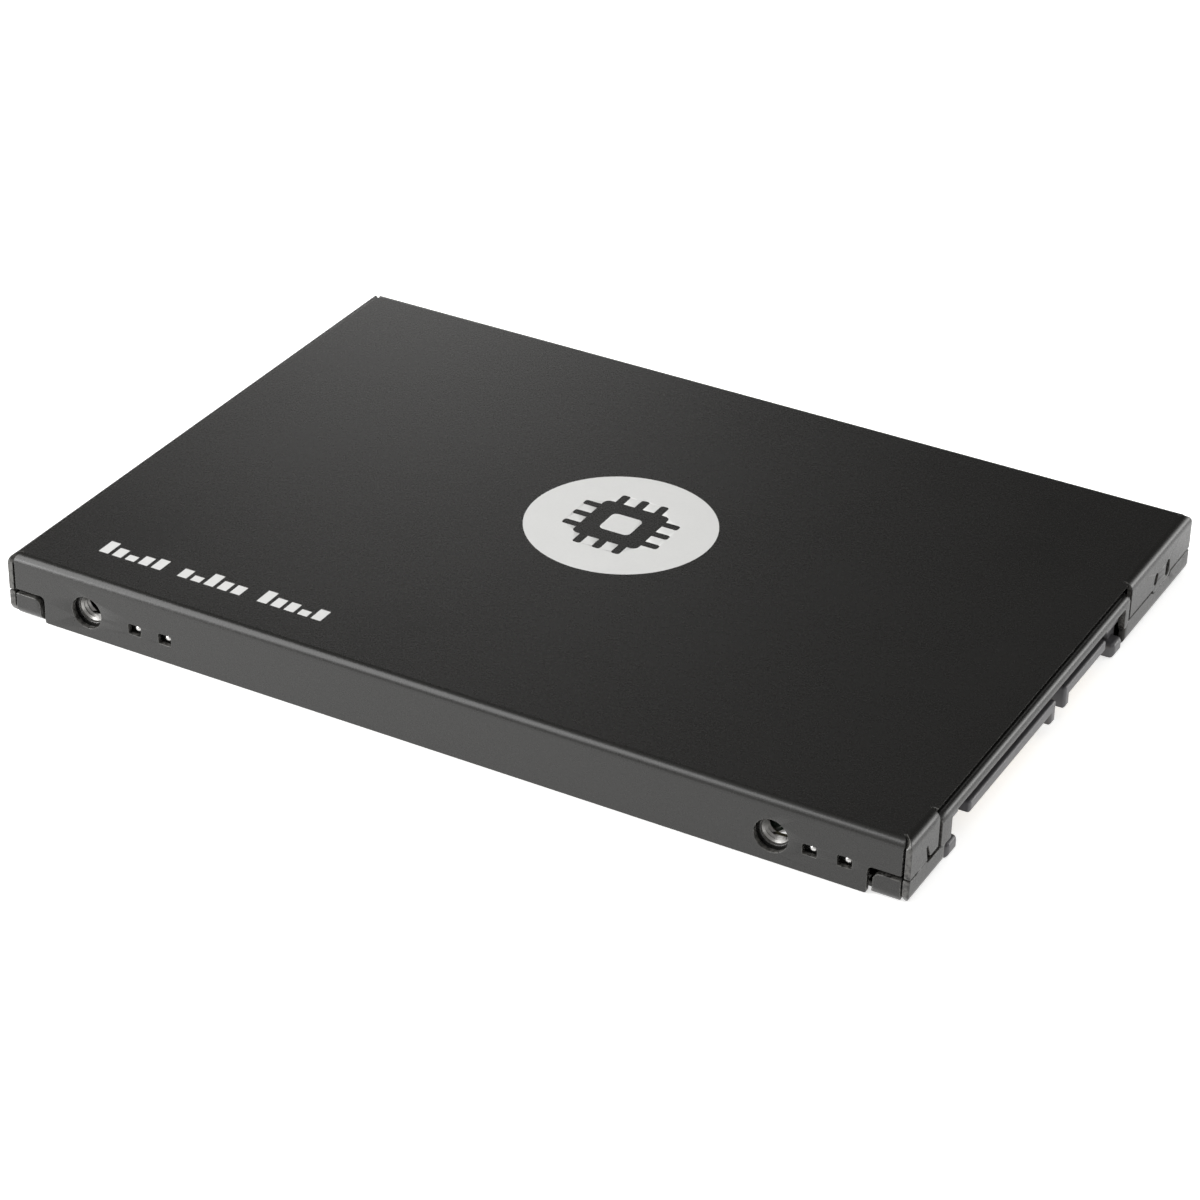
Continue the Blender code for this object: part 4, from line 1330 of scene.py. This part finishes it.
class GeometryTree(NodeDesk):
    """Builds one Geometry Nodes tree and turns its result into a plain mesh."""

    def __init__(self, name: str) -> None:
        """Start a tree with a geometry input and output.

        Args:
            name: The tree's name.
        """
        super().__init__(bpy.data.node_groups.new(name, "GeometryNodeTree"))
        self.values: dict[str, Any] = {}
        for way in ("INPUT", "OUTPUT"):
            self.tree.interface.new_socket("Geometry", in_out=way,
                                           socket_type="NodeSocketGeometry")
        self.entry = self.node("NodeGroupInput")
        self.exit = self.node("NodeGroupOutput")

    def input(self, name: str, kind: str, value: Any) -> bpy.types.NodeSocket:
        """Add a named input.

        Args:
            name: The input's name.
            kind: Its socket type.
            value: The value that it gets.

        Returns:
            The socket to link from.
        """
        socket = self.tree.interface.new_socket(name, in_out="INPUT", socket_type=kind)
        self.values[socket.identifier] = value
        return self.entry.outputs[name]

    def attribute(self, name: str) -> bpy.types.NodeSocket:
        """Return a named vector of the source points."""
        node = self.node("GeometryNodeInputNamedAttribute", {"data_type": "FLOAT_VECTOR"},
                         {"Name": name})
        return node.outputs["Attribute"]

    def scatter(self, shape: bpy.types.NodeSocket, **places: Any) -> bpy.types.NodeSocket:
        """Put a shape on every source point.

        Args:
            shape: The shape's geometry socket.
            **places: The Scale or Rotation that each copy gets.

        Returns:
            The geometry socket of all the copies.
        """
        node = self.node("GeometryNodeInstanceOnPoints", {}, {
            "Points": self.entry.outputs["Geometry"], "Instance": shape, **places})
        return node.outputs[0]

    def close(self, geometry: bpy.types.NodeSocket, finish: Finish) -> None:
        """End the tree with real geometry and a material.

        Args:
            geometry: The last geometry socket.
            finish: The finish that it gets.
        """
        real = self.node("GeometryNodeRealizeInstances", {}, {0: geometry})
        painted = self.node("GeometryNodeSetMaterial", {}, {
            "Geometry": real.outputs[0], "Material": finish.material()})
        self.tree.links.new(painted.outputs[0], self.exit.inputs[0])

    def grow(self, bench: Bench, thing: bpy.types.Object) -> bpy.types.Object:
        """Run the tree on an object and leave a plain mesh.

        Args:
            bench: The bench that settles the mesh.
            thing: The object with the tree's source mesh.

        Returns:
            The same object.
        """
        modifier = thing.modifiers.new(self.tree.name, "NODES")
        modifier.node_group = self.tree
        for identifier, value in self.values.items():
            modifier[identifier] = value
        bench.settle(thing)
        return thing


def point_cloud(bench: Bench, name: str, places: Sequence[Vector],
                **vectors: Sequence[Vector]) -> bpy.types.Object:
    """Return an object of bare vertices that a tree puts shapes on.

    Args:
        bench: The bench that makes the object.
        name: The object's name.
        places: The points, in millimetres.
        **vectors: Named vectors, one for each point, such as its direction or its size.

    Returns:
        The object.
    """
    shape = bmesh.new()
    for place in places:
        shape.verts.new(place)
    thing = bench.loose(name, shape)
    for label, values in vectors.items():
        layer = thing.data.attributes.new(label, "FLOAT_VECTOR", "POINT")
        layer.data.foreach_set("vector", [part for value in values for part in value])
    return thing


def scattered_blocks(bench: Bench, name: str, places: Sequence[Vector],
                     sizes: Sequence[Vector], finish: Finish, rounding: float = 0.0) -> None:
    """Grow one block on each point, each of its own size, and fix them to the drive.

    Args:
        bench: The bench.
        name: The piece's name.
        places: The blocks' centres.
        sizes: The blocks' sizes.
        finish: Their finish.
        rounding: The width of their eased edges, or none.
    """
    tree = GeometryTree(name + "_tree")
    unit = tree.input("Block Size", "NodeSocketVector", (1.0, 1.0, 1.0))
    block = tree.node("GeometryNodeMeshCube", {}, {"Size": unit})
    tree.close(tree.scatter(block.outputs[0], Scale=tree.attribute("size")), finish)
    metres = [tuple(part * MM for part in size) for size in sizes]
    thing = tree.grow(bench, point_cloud(bench, name, places, size=metres))
    if rounding:
        bench.ease(thing, rounding)
    bench.shade(thing)
    bench.place(thing, finish)


# --------------------------------------------------------------------------- fixings


@dataclass
class ScrewCollars:
    """The eight tapped collars that the fixing screws go into, with their threads."""

    case: CaseBox
    major: float = 1.5
    minor: float = 1.27
    outer: float = 2.15
    neck: float = 1.58
    neck_length: float = 0.72
    length: float = 1.85
    mouth: float = 0.06
    ease: float = 0.12
    bore_play: float = 0.02
    tail_play: float = 0.1
    pitch: float = 0.5
    thread_start: float = 0.17
    thread_short: float = 0.35
    thread_steps: int = 36
    sides: int = 40
    crease: float = 40.0

    def collar(self) -> bmesh.types.BMesh:
        """Return one collar's tube, its mouth at the origin and its bore along +Z."""
        bore, end = self.major - self.bore_play, self.length - self.ease
        profile = [(bore, self.ease), (self.major + self.bore_play, self.mouth),
                   (self.neck, self.mouth), (self.neck, self.neck_length),
                   (self.outer, self.neck_length), (self.outer, end),
                   (self.outer - self.ease, self.length),
                   (self.major + self.tail_play, self.length), (bore, end)]
        shape = bmesh.new()
        rings = []
        for step in range(self.sides):
            angle = 2 * math.pi * step / self.sides
            rings.append([shape.verts.new((r * math.cos(angle), r * math.sin(angle), z))
                          for r, z in profile])
        for number, ring in enumerate(rings):
            back = rings[number - 1]
            for spot in range(len(profile)):
                shape.faces.new((back[spot - 1], back[spot], ring[spot], ring[spot - 1]))
        bmesh.ops.recalc_face_normals(shape, faces=shape.faces)
        return shape

    def thread(self, tree: GeometryTree) -> bpy.types.NodeSocket:
        """Add the nodes of one thread to a tree.

        Args:
            tree: The tree.

        Returns:
            The thread's geometry socket.
        """
        length = self.length - self.thread_short
        turns = tree.input("Turns", "NodeSocketFloat", length / self.pitch)
        radius = tree.input("Thread Radius", "NodeSocketFloat", self.major * MM)
        height = tree.input("Thread Length", "NodeSocketFloat", length * MM)
        ridge = tree.input("Ridge", "NodeSocketFloat", (self.major - self.minor) * MM)
        spiral = tree.node("GeometryNodeCurveSpiral", {}, {
            "Resolution": self.thread_steps, "Rotations": turns, "Start Radius": radius,
            "End Radius": radius, "Height": height})
        upright = tree.node("GeometryNodeSetCurveNormal", {"mode": "Z_UP"},
                            {"Curve": spiral.outputs[0]})
        profile = tree.node("GeometryNodeCurvePrimitiveCircle", {"mode": "RADIUS"}, {
            "Resolution": 4, "Radius": ridge})
        thread = tree.node("GeometryNodeCurveToMesh", {}, {
            "Curve": upright.outputs[0], "Profile Curve": profile.outputs[0],
            "Fill Caps": True})
        raised = tree.node("GeometryNodeTransform", {}, {
            "Geometry": thread.outputs[0], "Translation": (0.0, 0.0, self.thread_start * MM)})
        return raised.outputs[0]

    def build(self, bench: Bench) -> None:
        """Grow the eight collars, each with a thread along its bore.

        Args:
            bench: The bench.
        """
        tube = bench.loose("collar_tube", self.collar())
        places, facing = [], []
        for side in (-1, 1):
            for x in self.case.hole_x():
                places.append(Vector((x, side * self.case.inner_y, self.case.hole_z)))
                facing.append(Vector((0.0, -side, 0.0)))
                places.append(Vector((x, side * self.case.base_hole_y, 0.0)))
                facing.append(Vector((0.0, 0.0, 1.0)))
        points = point_cloud(bench, "screw_collars", places, facing=facing)
        tree = GeometryTree("screw_collar_tree")
        shell = tree.node("GeometryNodeObjectInfo", {}, {
            "Object": tree.input("Collar", "NodeSocketObject", tube)})
        joined = tree.node("GeometryNodeJoinGeometry")
        for part in (self.thread(tree), shell.outputs["Geometry"]):
            tree.tree.links.new(part, joined.inputs[0])
        turned = tree.node("FunctionNodeAlignRotationToVector", {"axis": "Z"},
                           {"Vector": tree.attribute("facing")})
        # The collars take the darker tone of bare metal, painted shade for the inside of the
        # holes.
        tree.close(tree.scatter(joined.outputs[0], Rotation=turned.outputs[0]), BARE)
        tree.grow(bench, points)
        bpy.data.objects.remove(tube)
        bench.shade(points, self.crease)
        bench.place(points, BARE)


@dataclass
class SnapNubs:
    """The tray's small pressed nubs that hold the top cover by its windows."""

    case: CaseBox
    wall_y: float = 34.2
    size: tuple[float, float, float] = (1.0, 1.0, 0.86)
    shift: float = 0.24
    lift: float = 0.10

    def build(self, bench: Bench) -> None:
        """Grow one rounded nub behind each window.

        Args:
            bench: The bench.
        """
        places = [Vector((x + self.shift, side * self.wall_y, self.case.window_z + self.lift))
                  for side in (-1, 1) for x in self.case.window_x()]
        points = point_cloud(bench, "snap_nubs", places)
        tree = GeometryTree("snap_nub_tree")
        size = tree.input("Nub Size", "NodeSocketVector", tuple(s * MM for s in self.size))
        ball = tree.node("GeometryNodeMeshUVSphere", {}, {
            "Segments": 20, "Rings": 12, "Radius": 0.5})
        # The nubs take the lighter tone of bare metal, painted light where they catch the lamps.
        tree.close(tree.scatter(ball.outputs[0], Scale=size), BARE_METAL_PAINTED_LIGHT)
        tree.grow(bench, points)
        bench.shade(points)
        bench.place(points, BARE_METAL_PAINTED_LIGHT)


# --------------------------------------------------------------------------- the plug


class BlockWork:
    """A solid made by adding and cutting square-cornered blocks, with no inner faces."""

    FLAT_WITHIN = 1.0  # degrees between two faces that are joined into one

    def __init__(self) -> None:
        """Start with no blocks."""
        self.steps: list[tuple[bool, Point, Point]] = []

    def add(self, low: Point, high: Point) -> None:
        """Add a block between two corners."""
        self.steps.append((True, low, high))

    def cut(self, low: Point, high: Point) -> None:
        """Cut a block away between two corners."""
        self.steps.append((False, low, high))

    def shape(self) -> bmesh.types.BMesh:
        """Return the solid's outer skin as one closed shape."""
        lines = [sorted({round(corner[axis], 5) for _, low, high in self.steps
                         for corner in (low, high)}) for axis in range(3)]
        filled = set()
        for adding, low, high in self.steps:
            spans = [[n for n in range(len(line) - 1)
                      if low[axis] - 1e-6 <= line[n] and line[n + 1] <= high[axis] + 1e-6]
                     for axis, line in enumerate(lines)]
            cells = {(i, j, k) for i in spans[0] for j in spans[1] for k in spans[2]}
            filled = filled | cells if adding else filled - cells
        shape = bmesh.new()
        verts: dict[tuple[int, ...], bmesh.types.BMVert] = {}

        def vert(spot: tuple[int, ...]) -> bmesh.types.BMVert:
            """Return the vertex at a crossing of grid lines."""
            if spot not in verts:
                verts[spot] = shape.verts.new([lines[a][spot[a]] for a in range(3)])
            return verts[spot]

        for cell in filled:
            for axis in range(3):
                for step in (-1, 1):
                    beside = tuple(c + (step if a == axis else 0) for a, c in enumerate(cell))
                    if beside in filled:
                        continue
                    one, two = [a for a in range(3) if a != axis]
                    spots = []
                    for d_one, d_two in ((0, 0), (1, 0), (1, 1), (0, 1)):
                        spot = list(cell)
                        spot[axis] += 1 if step > 0 else 0
                        spot[one] += d_one
                        spot[two] += d_two
                        spots.append(vert(tuple(spot)))
                    shape.faces.new(spots)
        bmesh.ops.recalc_face_normals(shape, faces=shape.faces)
        bmesh.ops.dissolve_limit(shape, angle_limit=math.radians(self.FLAT_WITHIN),
                                 use_dissolve_boundaries=False, verts=shape.verts,
                                 edges=shape.edges)
        return shape


@dataclass
class Plug:
    """The black plastic plug: block, two keyed blades and two guide arms."""

    case: CaseBox
    rounding: float = 0.09
    half_width: float = 21.8
    blade_root: float = 44.6
    block_x: float = 41.3
    block_z: tuple[float, float] = (1.2, 4.4)
    blade_z: tuple[float, float] = (2.5, 3.73)
    power_y: tuple[float, float] = (-21.5, -0.93)
    signal_y: tuple[float, float] = (1.48, 11.89)
    key_width: float = 1.1
    key_z: float = 1.33
    arm_width: float = 1.8
    arm_z: tuple[float, float] = (0.15, 3.75)
    web_front: float = 49.0
    foot_outset: float = 0.35
    foot_reach: float = 2.6
    foot_z: float = 1.7
    foot_slack: float = 0.1
    nose: float = 0.30
    toe: float = 0.48
    lip_reach: float = 3.6
    lip_z: float = 3.4
    lip_outset: float = 0.5
    lip_front: float = 49.5
    ear_x: float = 37.4
    ear_z: float = 3.6
    ear_width: float = 4.0
    groove_width: float = 0.8
    groove_z: tuple[float, float] = (2.5, 2.86)
    groove_front: float = 49.6
    groove_drop: float = 0.3
    near: float = 0.01

    def __post_init__(self) -> None:
        """Read the plug's place from the frame."""
        box = Span.of_node("connector_housing")
        self.centre_y = box.middle.y
        self.front = box.high.x

    def contact_rows(self) -> list[float]:
        """Return where the contacts lie across the drive."""
        names = [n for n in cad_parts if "_contact_" in n]
        return sorted(Span.of_node(name).middle.y for name in names)

    def arm(self, work: BlockWork, side: int) -> None:
        """Add one guide arm, with its foot, lip and ear.

        Args:
            work: The block work.
            side: Which side it stands on.
        """
        outer = self.centre_y + side * self.half_width

        def block(start: float, end: float, x: Point, z: Point) -> None:
            """Add a block by its distances in from the plug's outer face."""
            low, high = sorted((outer - side * start, outer - side * end))
            work.add((x[0], low, z[0]), (x[1], high, z[1]))

        root = self.blade_root
        block(0.0, self.arm_width, (root, self.web_front), self.arm_z)
        block(self.foot_outset, self.foot_reach, (root, self.front),
              (self.arm_z[0], self.foot_z))
        block(self.lip_outset, self.lip_reach, (root, self.lip_front),
              (self.lip_z, self.arm_z[1]))
        block(0.0, self.ear_width, (self.ear_x, self.block_x), (self.ear_z, self.block_z[1]))

    def soften(self, shape: bmesh.types.BMesh) -> None:
        """Round the leading edges of the blades and feet.

        Args:
            shape: The plug's skin.
        """
        feet_past = self.half_width - self.foot_reach - self.foot_slack

        def leading(edge: bmesh.types.BMEdge, feet: bool) -> bool:
            """Tell whether an edge bounds the front of a foot or of a blade."""
            a, b = (vert.co for vert in edge.verts)
            on_foot = min(abs(v.y - self.centre_y) for v in (a, b)) > feet_past
            touches = max(a.x, b.x) > self.front - self.near
            in_front = min(a.x, b.x) > self.front - self.near
            level = self.foot_z if on_foot else self.blade_z[1]
            on_top = all(abs(v.z - level) < self.near for v in (a, b))
            return on_foot == feet and (in_front or (touches and on_top))

        for feet, width in ((True, self.toe), (False, self.nose)):
            edges = [edge for edge in shape.edges if leading(edge, feet)]
            bmesh.ops.bevel(shape, geom=edges, offset=width, segments=4, affect="EDGES",
                            profile=0.5, clamp_overlap=True)

    def shape(self) -> bmesh.types.BMesh:
        """Return the plug's skin."""
        work = BlockWork()
        root = self.blade_root
        work.add((self.block_x, self.centre_y - self.half_width, self.block_z[0]),
                 (root, self.centre_y + self.half_width, self.block_z[1]))
        for side in (-1, 1):
            self.arm(work, side)
        for low, high in (self.power_y, self.signal_y):
            work.add((root, low, self.blade_z[0]), (self.front, high, self.blade_z[1]))
        work.add((root, self.power_y[1] - self.key_width, self.key_z),
                 (self.front, self.power_y[1], self.blade_z[0]))
        work.add((root, self.signal_y[0], self.key_z),
                 (self.front, self.signal_y[0] + self.key_width, self.blade_z[0]))
        for y in self.contact_rows():
            half = self.groove_width / 2
            work.cut((self.block_x, y - half, self.groove_z[0] - self.groove_drop),
                     (root, y + half, self.groove_z[1]))
            work.cut((root, y - half, self.groove_z[0]),
                     (self.groove_front, y + half, self.groove_z[1]))
        shape = work.shape()
        self.soften(shape)
        return shape

    def build(self, bench: Bench) -> None:
        """Make the plug's body.

        Args:
            bench: The bench.
        """
        bench.make("plug_body", self.shape(), PLASTIC, ["connector_housing"], self.rounding)


# --------------------------------------------------------------------------- the board


@dataclass
class Board:
    """The circuit board's own dressing: finishes, small parts and solder."""

    part_size: tuple[float, float, float] = (1.0, 0.5, 0.45)
    part_lift: float = 0.02
    part_ease: float = 0.04
    cap_length: float = 0.25
    cap_proud: float = 0.03
    part_pitch: float = 2.4
    part_rows: tuple[Point, ...] = ((13.0, -28.0, 28.0), (31.5, -12.0, 20.0),
                                    (28.0, 8.0, 24.0))
    bare_strip: tuple[float, float] = (11.3, 12.6)
    clearance: float = 0.8
    joint_size: tuple[float, float, float] = (1.5, 0.72, 0.26)
    joint_place: tuple[float, float] = (0.9, 0.2)
    joint_ease: float = 0.1

    FINISHES = (("circuit_board", LAMINATE), ("flash_chip", EPOXY), ("controller_chip", EPOXY),
                ("regulator_chip", EPOXY), ("power_inductor", FERRITE),
                ("filter_capacitor", TANTALUM), ("thermal_pad", GEL), ("clock_crystal", PLATED),
                ("board_screw", PLATED), ("board_lock", PLATED), ("insulating_sheet", FILM),
                ("power_contact", GOLD), ("signal_contact", GOLD))
    TALL = ("flash", "controller", "regulator", "power", "clock", "filter", "board")

    def dress_nodes(self, bench: Bench) -> None:
        """Give every inner node of the frame its finish.

        Args:
            bench: The bench.
        """
        for node in sorted(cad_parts):
            for start, finish in self.FINISHES:
                if node.startswith(start):
                    bench.dress(node, finish)

    def part_spots(self, top: float) -> list[tuple[float, float]]:
        """Return the places of the small parts, clear of the larger ones.

        Args:
            top: The height of the board's upper face.

        Returns:
            Their places along and across the drive.
        """
        rows = []
        near, far = self.bare_strip
        for x, first, last in self.part_rows:
            ys = [first + self.part_pitch * n for n in range(int((last - first)
                                                                 / self.part_pitch))]
            rows += [(x, y) for y in ys if not near < abs(y) < far]
        tall = [Span.of_node(n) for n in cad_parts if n.split("_")[0] in self.TALL]
        gap = self.clearance
        return [(x, y) for x, y in rows if not any(
            s.low.x - gap < x < s.high.x + gap and s.low.y - gap < y < s.high.y + gap
            and s.high.z > top for s in tall)]

    def small_parts(self, bench: Bench) -> None:
        """Grow rows of small two-ended parts beside the chips.

        Args:
            bench: The bench.
        """
        top = Span.of_node("circuit_board").high.z
        length, width, height = self.part_size
        spots = self.part_spots(top)
        centre = top + height / 2 + self.part_lift
        bodies = [Vector((x, y, centre)) for x, y in spots]
        size = Vector((length - 2 * self.cap_length, width, height))
        scattered_blocks(bench, "small_part_bodies", bodies, [size] * len(bodies), CERAMIC,
                         self.part_ease)
        offset = (length - self.cap_length) / 2
        ends = [Vector((x + side * offset, y, centre)) for x, y in spots for side in (-1, 1)]
        size = Vector((self.cap_length, width + self.cap_proud, height + self.cap_proud))
        scattered_blocks(bench, "small_part_ends", ends, [size] * len(ends), SOLDER,
                         self.part_ease)

    def solder(self, bench: Bench) -> None:
        """Grow a solder joint over each contact's tail.

        Args:
            bench: The bench.
        """
        ahead, up = self.joint_place
        tails = [Span.of_node(n) for n in sorted(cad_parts) if "_contact_" in n]
        spots = [Vector((box.low.x + ahead, box.middle.y, box.low.z + up)) for box in tails]
        scattered_blocks(bench, "tail_solder", spots, [Vector(self.joint_size)] * len(spots),
                         SOLDER, self.joint_ease)

    def build(self, bench: Bench) -> None:
        """Dress the board and add its small parts.

        Args:
            bench: The bench.
        """
        self.dress_nodes(bench)
        self.small_parts(bench)
        self.solder(bench)


# --------------------------------------------------------------------------- print and label


@dataclass
class TopPrint:
    """The pale print on the plate: a disc with a plain chip sign, and a row of marks."""

    case: CaseBox
    ink: float = 0.014
    sunk: float = 0.006
    rim: float = 0.004
    centre: tuple[float, float] = (0.1, 2.15)
    radius: float = 10.1
    disc_sides: int = 160
    sign: float = 7.6
    sign_round: float = 0.7
    core: float = 3.5
    core_round: float = 0.6
    leg: tuple[float, float] = (0.95, 1.75)
    leg_round: float = 0.3
    leg_step: float = 2.25
    row_start: tuple[float, float] = (-42.5, -29.75)
    row_length: float = 27.4
    row_tail: float = 0.3
    mark: tuple[float, float] = (1.12, 1.62)
    tall: float = 2.3
    small: float = 0.62
    pattern: str = "Tsmst smTss Tssmt"

    def press(self, bench: Bench, name: str, outline: Loop, holes: list[Loop]) -> None:
        """Lay one flat shape of ink on the plate.

        Args:
            bench: The bench.
            name: The piece's name.
            outline: Its outline.
            holes: What is left open in it.
        """
        shape = FlatBlank(outline, holes, self.ink, self.rim, 1).solid()
        bmesh.ops.translate(shape, verts=shape.verts,
                            vec=(0.0, 0.0, self.case.top_z - self.sunk))
        bench.make(name, shape, INK)

    def disc(self, bench: Bench) -> None:
        """Make the disc, with the chip sign left open in it.

        Args:
            bench: The bench.
        """
        cx, cy = self.centre
        half = self.sign / 2
        wide, long = self.leg
        points: list[Point] = []
        for ux, uy in ((1, 0), (0, 1), (-1, 0), (0, -1)):
            vx, vy = -uy, ux
            points.append((cx + half * (ux - vx), cy + half * (uy - vy), self.sign_round))
            for step in (-1, 0, 1):
                for side, out in ((-1, 0.0), (-1, long), (1, long), (1, 0.0)):
                    along = step * self.leg_step + side * wide / 2
                    points.append((cx + ux * (half + out) + vx * along,
                                   cy + uy * (half + out) + vy * along,
                                   self.leg_round if out else 0.0))
        self.press(bench, "disc_print", circle(self.centre, self.radius, self.disc_sides),
                   [rounded(points)])
        core = self.core / 2
        self.press(bench, "disc_print_core",
                   rounded([(cx + a * core, cy + b * core, self.core_round)
                            for a, b in SQUARE]), [])

    def row(self, bench: Bench) -> None:
        """Grow the row of small marks in three groups.

        Args:
            bench: The bench.
        """
        wide, low = self.mark
        heights = {"T": self.tall, "t": (low + self.tall) / 2, "s": low, "m": low * self.small}
        start, base = self.row_start
        level = self.case.top_z + self.ink / 2 - self.sunk
        pitch = self.row_length / (len(self.pattern) + self.row_tail)
        marks = [(start + pitch * number + wide / 2, heights[sign])
                 for number, sign in enumerate(self.pattern) if sign != " "]
        scattered_blocks(bench, "row_print",
                         [Vector((x, base + high / 2, level)) for x, high in marks],
                         [Vector((wide, high, self.ink)) for _, high in marks], INK)

    def build(self, bench: Bench) -> None:
        """Print the disc and the row.

        Args:
            bench: The bench.
        """
        self.disc(bench)
        self.row(bench)


@dataclass
class BaseLabel:
    """The blank label on the underside, with plain printed bars and no wording."""

    x: tuple[float, float] = (-33.0, 29.0)
    half_y: float = 24.0
    corner: float = 2.0
    corner_steps: int = 8
    thickness: float = 0.05
    rim: float = 0.012
    proud: float = 0.035
    margin: float = 5.0
    bars: tuple[tuple[float, float, float], ...] = (
        (17.0, 34.0, 2.2), (12.5, 46.0, 1.0), (8.5, 40.0, 1.0), (4.5, 43.0, 1.0),
        (-4.0, 52.0, 1.0), (-14.0, 24.0, 1.0))
    bar_ink: float = 0.008
    bar_ease: float = 0.002

    def build(self, bench: Bench) -> None:
        """Lay the label and its bars.

        Args:
            bench: The bench.
        """
        (left, right), reach = self.x, self.half_y
        outline = rounded([(left, -reach, self.corner), (right, -reach, self.corner),
                           (right, reach, self.corner), (left, reach, self.corner)],
                          self.corner_steps)
        shape = FlatBlank(outline, [], self.thickness, self.rim, 1).solid()
        bmesh.ops.translate(shape, verts=shape.verts, vec=(0.0, 0.0, -self.proud))
        bench.make("base_label", shape, LABEL)
        places = [Vector((left + self.margin + length / 2, -y, -self.proud))
                  for y, length, _ in self.bars]
        sizes = [Vector((length, high, self.bar_ink)) for _, length, high in self.bars]
        scattered_blocks(bench, "label_bars", places, sizes, FAINT_INK, self.bar_ease)


# --------------------------------------------------------------------------- the studio


@dataclass(frozen=True)
class Glow:
    """A soft bright patch of the studio's surroundings.

    The way points to it, the focus narrows it and the level is its brightness.
    """

    way: Point
    focus: float
    level: float


@dataclass(frozen=True)
class Softbox:
    """One soft light: the way to it, its distance and size in metres, and its watts."""

    name: str
    way: Point
    distance: float
    size: tuple[float, float]
    watts: float

    def hang(self) -> None:
        """Hang the light so that it faces the drive."""
        data = bpy.data.lights.new(self.name, "AREA")
        data.shape = "RECTANGLE"
        data.size, data.size_y = self.size
        data.energy = self.watts
        lamp = bpy.data.objects.new(self.name, data)
        way = Vector(self.way).normalized()
        lamp.location = way * self.distance
        lamp.rotation_euler = way.to_track_quat("Z", "Y").to_euler()
        bpy.context.scene.collection.objects.link(lamp)


@dataclass
class Studio:
    """The pale floor, soft lights and camera."""

    floor_z: float = -0.06
    floor_size: float = 3000.0
    camera_place: Point = (150.78, -282.81, 191.86)
    azimuth: float = 27.948
    elevation: float = 31.179
    roll: float = 1.544
    lens: float = 108.43
    sensor: float = 36.0
    lens_shift: Point = (-0.0120, 0.0076)
    clip: tuple[float, float] = (0.01, 20.0)
    tint: Point = (1.0, 0.995, 0.985, 1.0)
    front_lean: float = 0.45
    front_rise: tuple[float, float] = (0.15, 1.1)
    horizon: tuple[float, float] = (-0.05, 0.2)
    front_level: float = 0.64
    back_level: float = 0.03
    glows: tuple[Glow, ...] = (Glow((-0.50, 0.80, 0.30), 280.0, 5.0),
                               Glow((0.62, 0.77, 0.16), 34.0, 7.5))
    lights: tuple[Softbox, ...] = (
        Softbox("key_light", (-0.56, -0.46, 0.70), 0.62, (0.52, 0.42), 3.6),
        Softbox("top_light", (0.38, 0.10, 0.92), 1.1, (0.9, 0.9), 2.9),
        Softbox("left_light", (-0.75, -0.62, 0.25), 0.26, (0.10, 0.08), 0.38))

    def floor(self, bench: Bench) -> None:
        """Lay the floor.

        Args:
            bench: The bench.
        """
        shape = bmesh.new()
        bmesh.ops.create_grid(shape, x_segments=8, y_segments=8, size=self.floor_size / 2)
        bmesh.ops.translate(shape, verts=shape.verts, vec=(0.0, 0.0, self.floor_z))
        thing = bench.loose("floor", shape)
        thing.data.materials.append(PAPER.material())
        thing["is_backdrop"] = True

    def sky(self) -> None:
        """Fill the studio with soft light: bright in front, dark behind but for the glows."""
        world = bpy.data.worlds.new("studio")
        bpy.context.scene.world = world
        world.use_nodes = True
        desk = NodeDesk(world.node_tree)
        way = desk.node("ShaderNodeTexCoord").outputs["Generated"]
        parts = desk.node("ShaderNodeSeparateXYZ", {}, {0: way})
        across, along, up = (Signal(desk, parts.outputs[n]) for n in range(3))
        front = (0.0 - along - across * self.front_lean).above(*self.front_rise)
        level = front * self.front_level * up.above(*self.horizon)
        for glow in self.glows:
            aim = tuple(Vector(glow.way).normalized())
            match = desk.node("ShaderNodeVectorMath", {"operation": "DOT_PRODUCT"},
                              {0: way, 1: aim}).outputs["Value"]
            near = Signal(desk, match).maths("MAXIMUM", match, 0.0)
            level = level + near ** glow.focus * glow.level
        back = world.node_tree.nodes["Background"]
        desk.feed(back.inputs[0], self.tint)
        desk.feed(back.inputs[1], level + self.back_level)

    def camera(self) -> None:
        """Set the camera at the wanted angle."""
        data = bpy.data.cameras.new("camera")
        data.lens = self.lens
        data.sensor_width = self.sensor
        data.shift_x, data.shift_y = self.lens_shift
        data.clip_start, data.clip_end = self.clip
        eye = bpy.data.objects.new("camera", data)
        eye.location = Vector(self.camera_place) * MM
        across, up = math.radians(self.azimuth), math.radians(self.elevation)
        ahead = Vector((-math.sin(across) * math.cos(up), math.cos(across) * math.cos(up),
                        -math.sin(up)))
        turn = ahead.to_track_quat("-Z", "Y").to_matrix()
        roll = Matrix.Rotation(math.radians(self.roll), 3, "Z")
        eye.rotation_euler = (turn @ roll).to_euler()
        bpy.context.scene.collection.objects.link(eye)
        bpy.context.scene.camera = eye

    def build(self, bench: Bench) -> None:
        """Set up the studio.

        Args:
            bench: The bench.
        """
        bpy.context.scene.view_settings.view_transform = "Standard"
        self.floor(bench)
        self.sky()
        for light in self.lights:
            light.hang()
        self.camera()


def main() -> None:
    """Build every piece."""
    logging.basicConfig(level=logging.INFO, format="%(message)s")
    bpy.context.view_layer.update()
    bench = Bench()
    case = CaseBox.from_frame()
    Studio().build(bench)
    bench.make("cover_shell", TopCover(case).build(), PAINT, ["top_cover"])
    bench.make("tray_shell", Tray(case).build(), PAINT, ["bottom_cover"])
    for part in (ScrewCollars(case), SnapNubs(case), Plug(case), Board(), TopPrint(case),
                 BaseLabel()):
        part.build(bench)
    LOG.info("%d pieces made", bench.count)


if __name__ == "__main__":
    main()
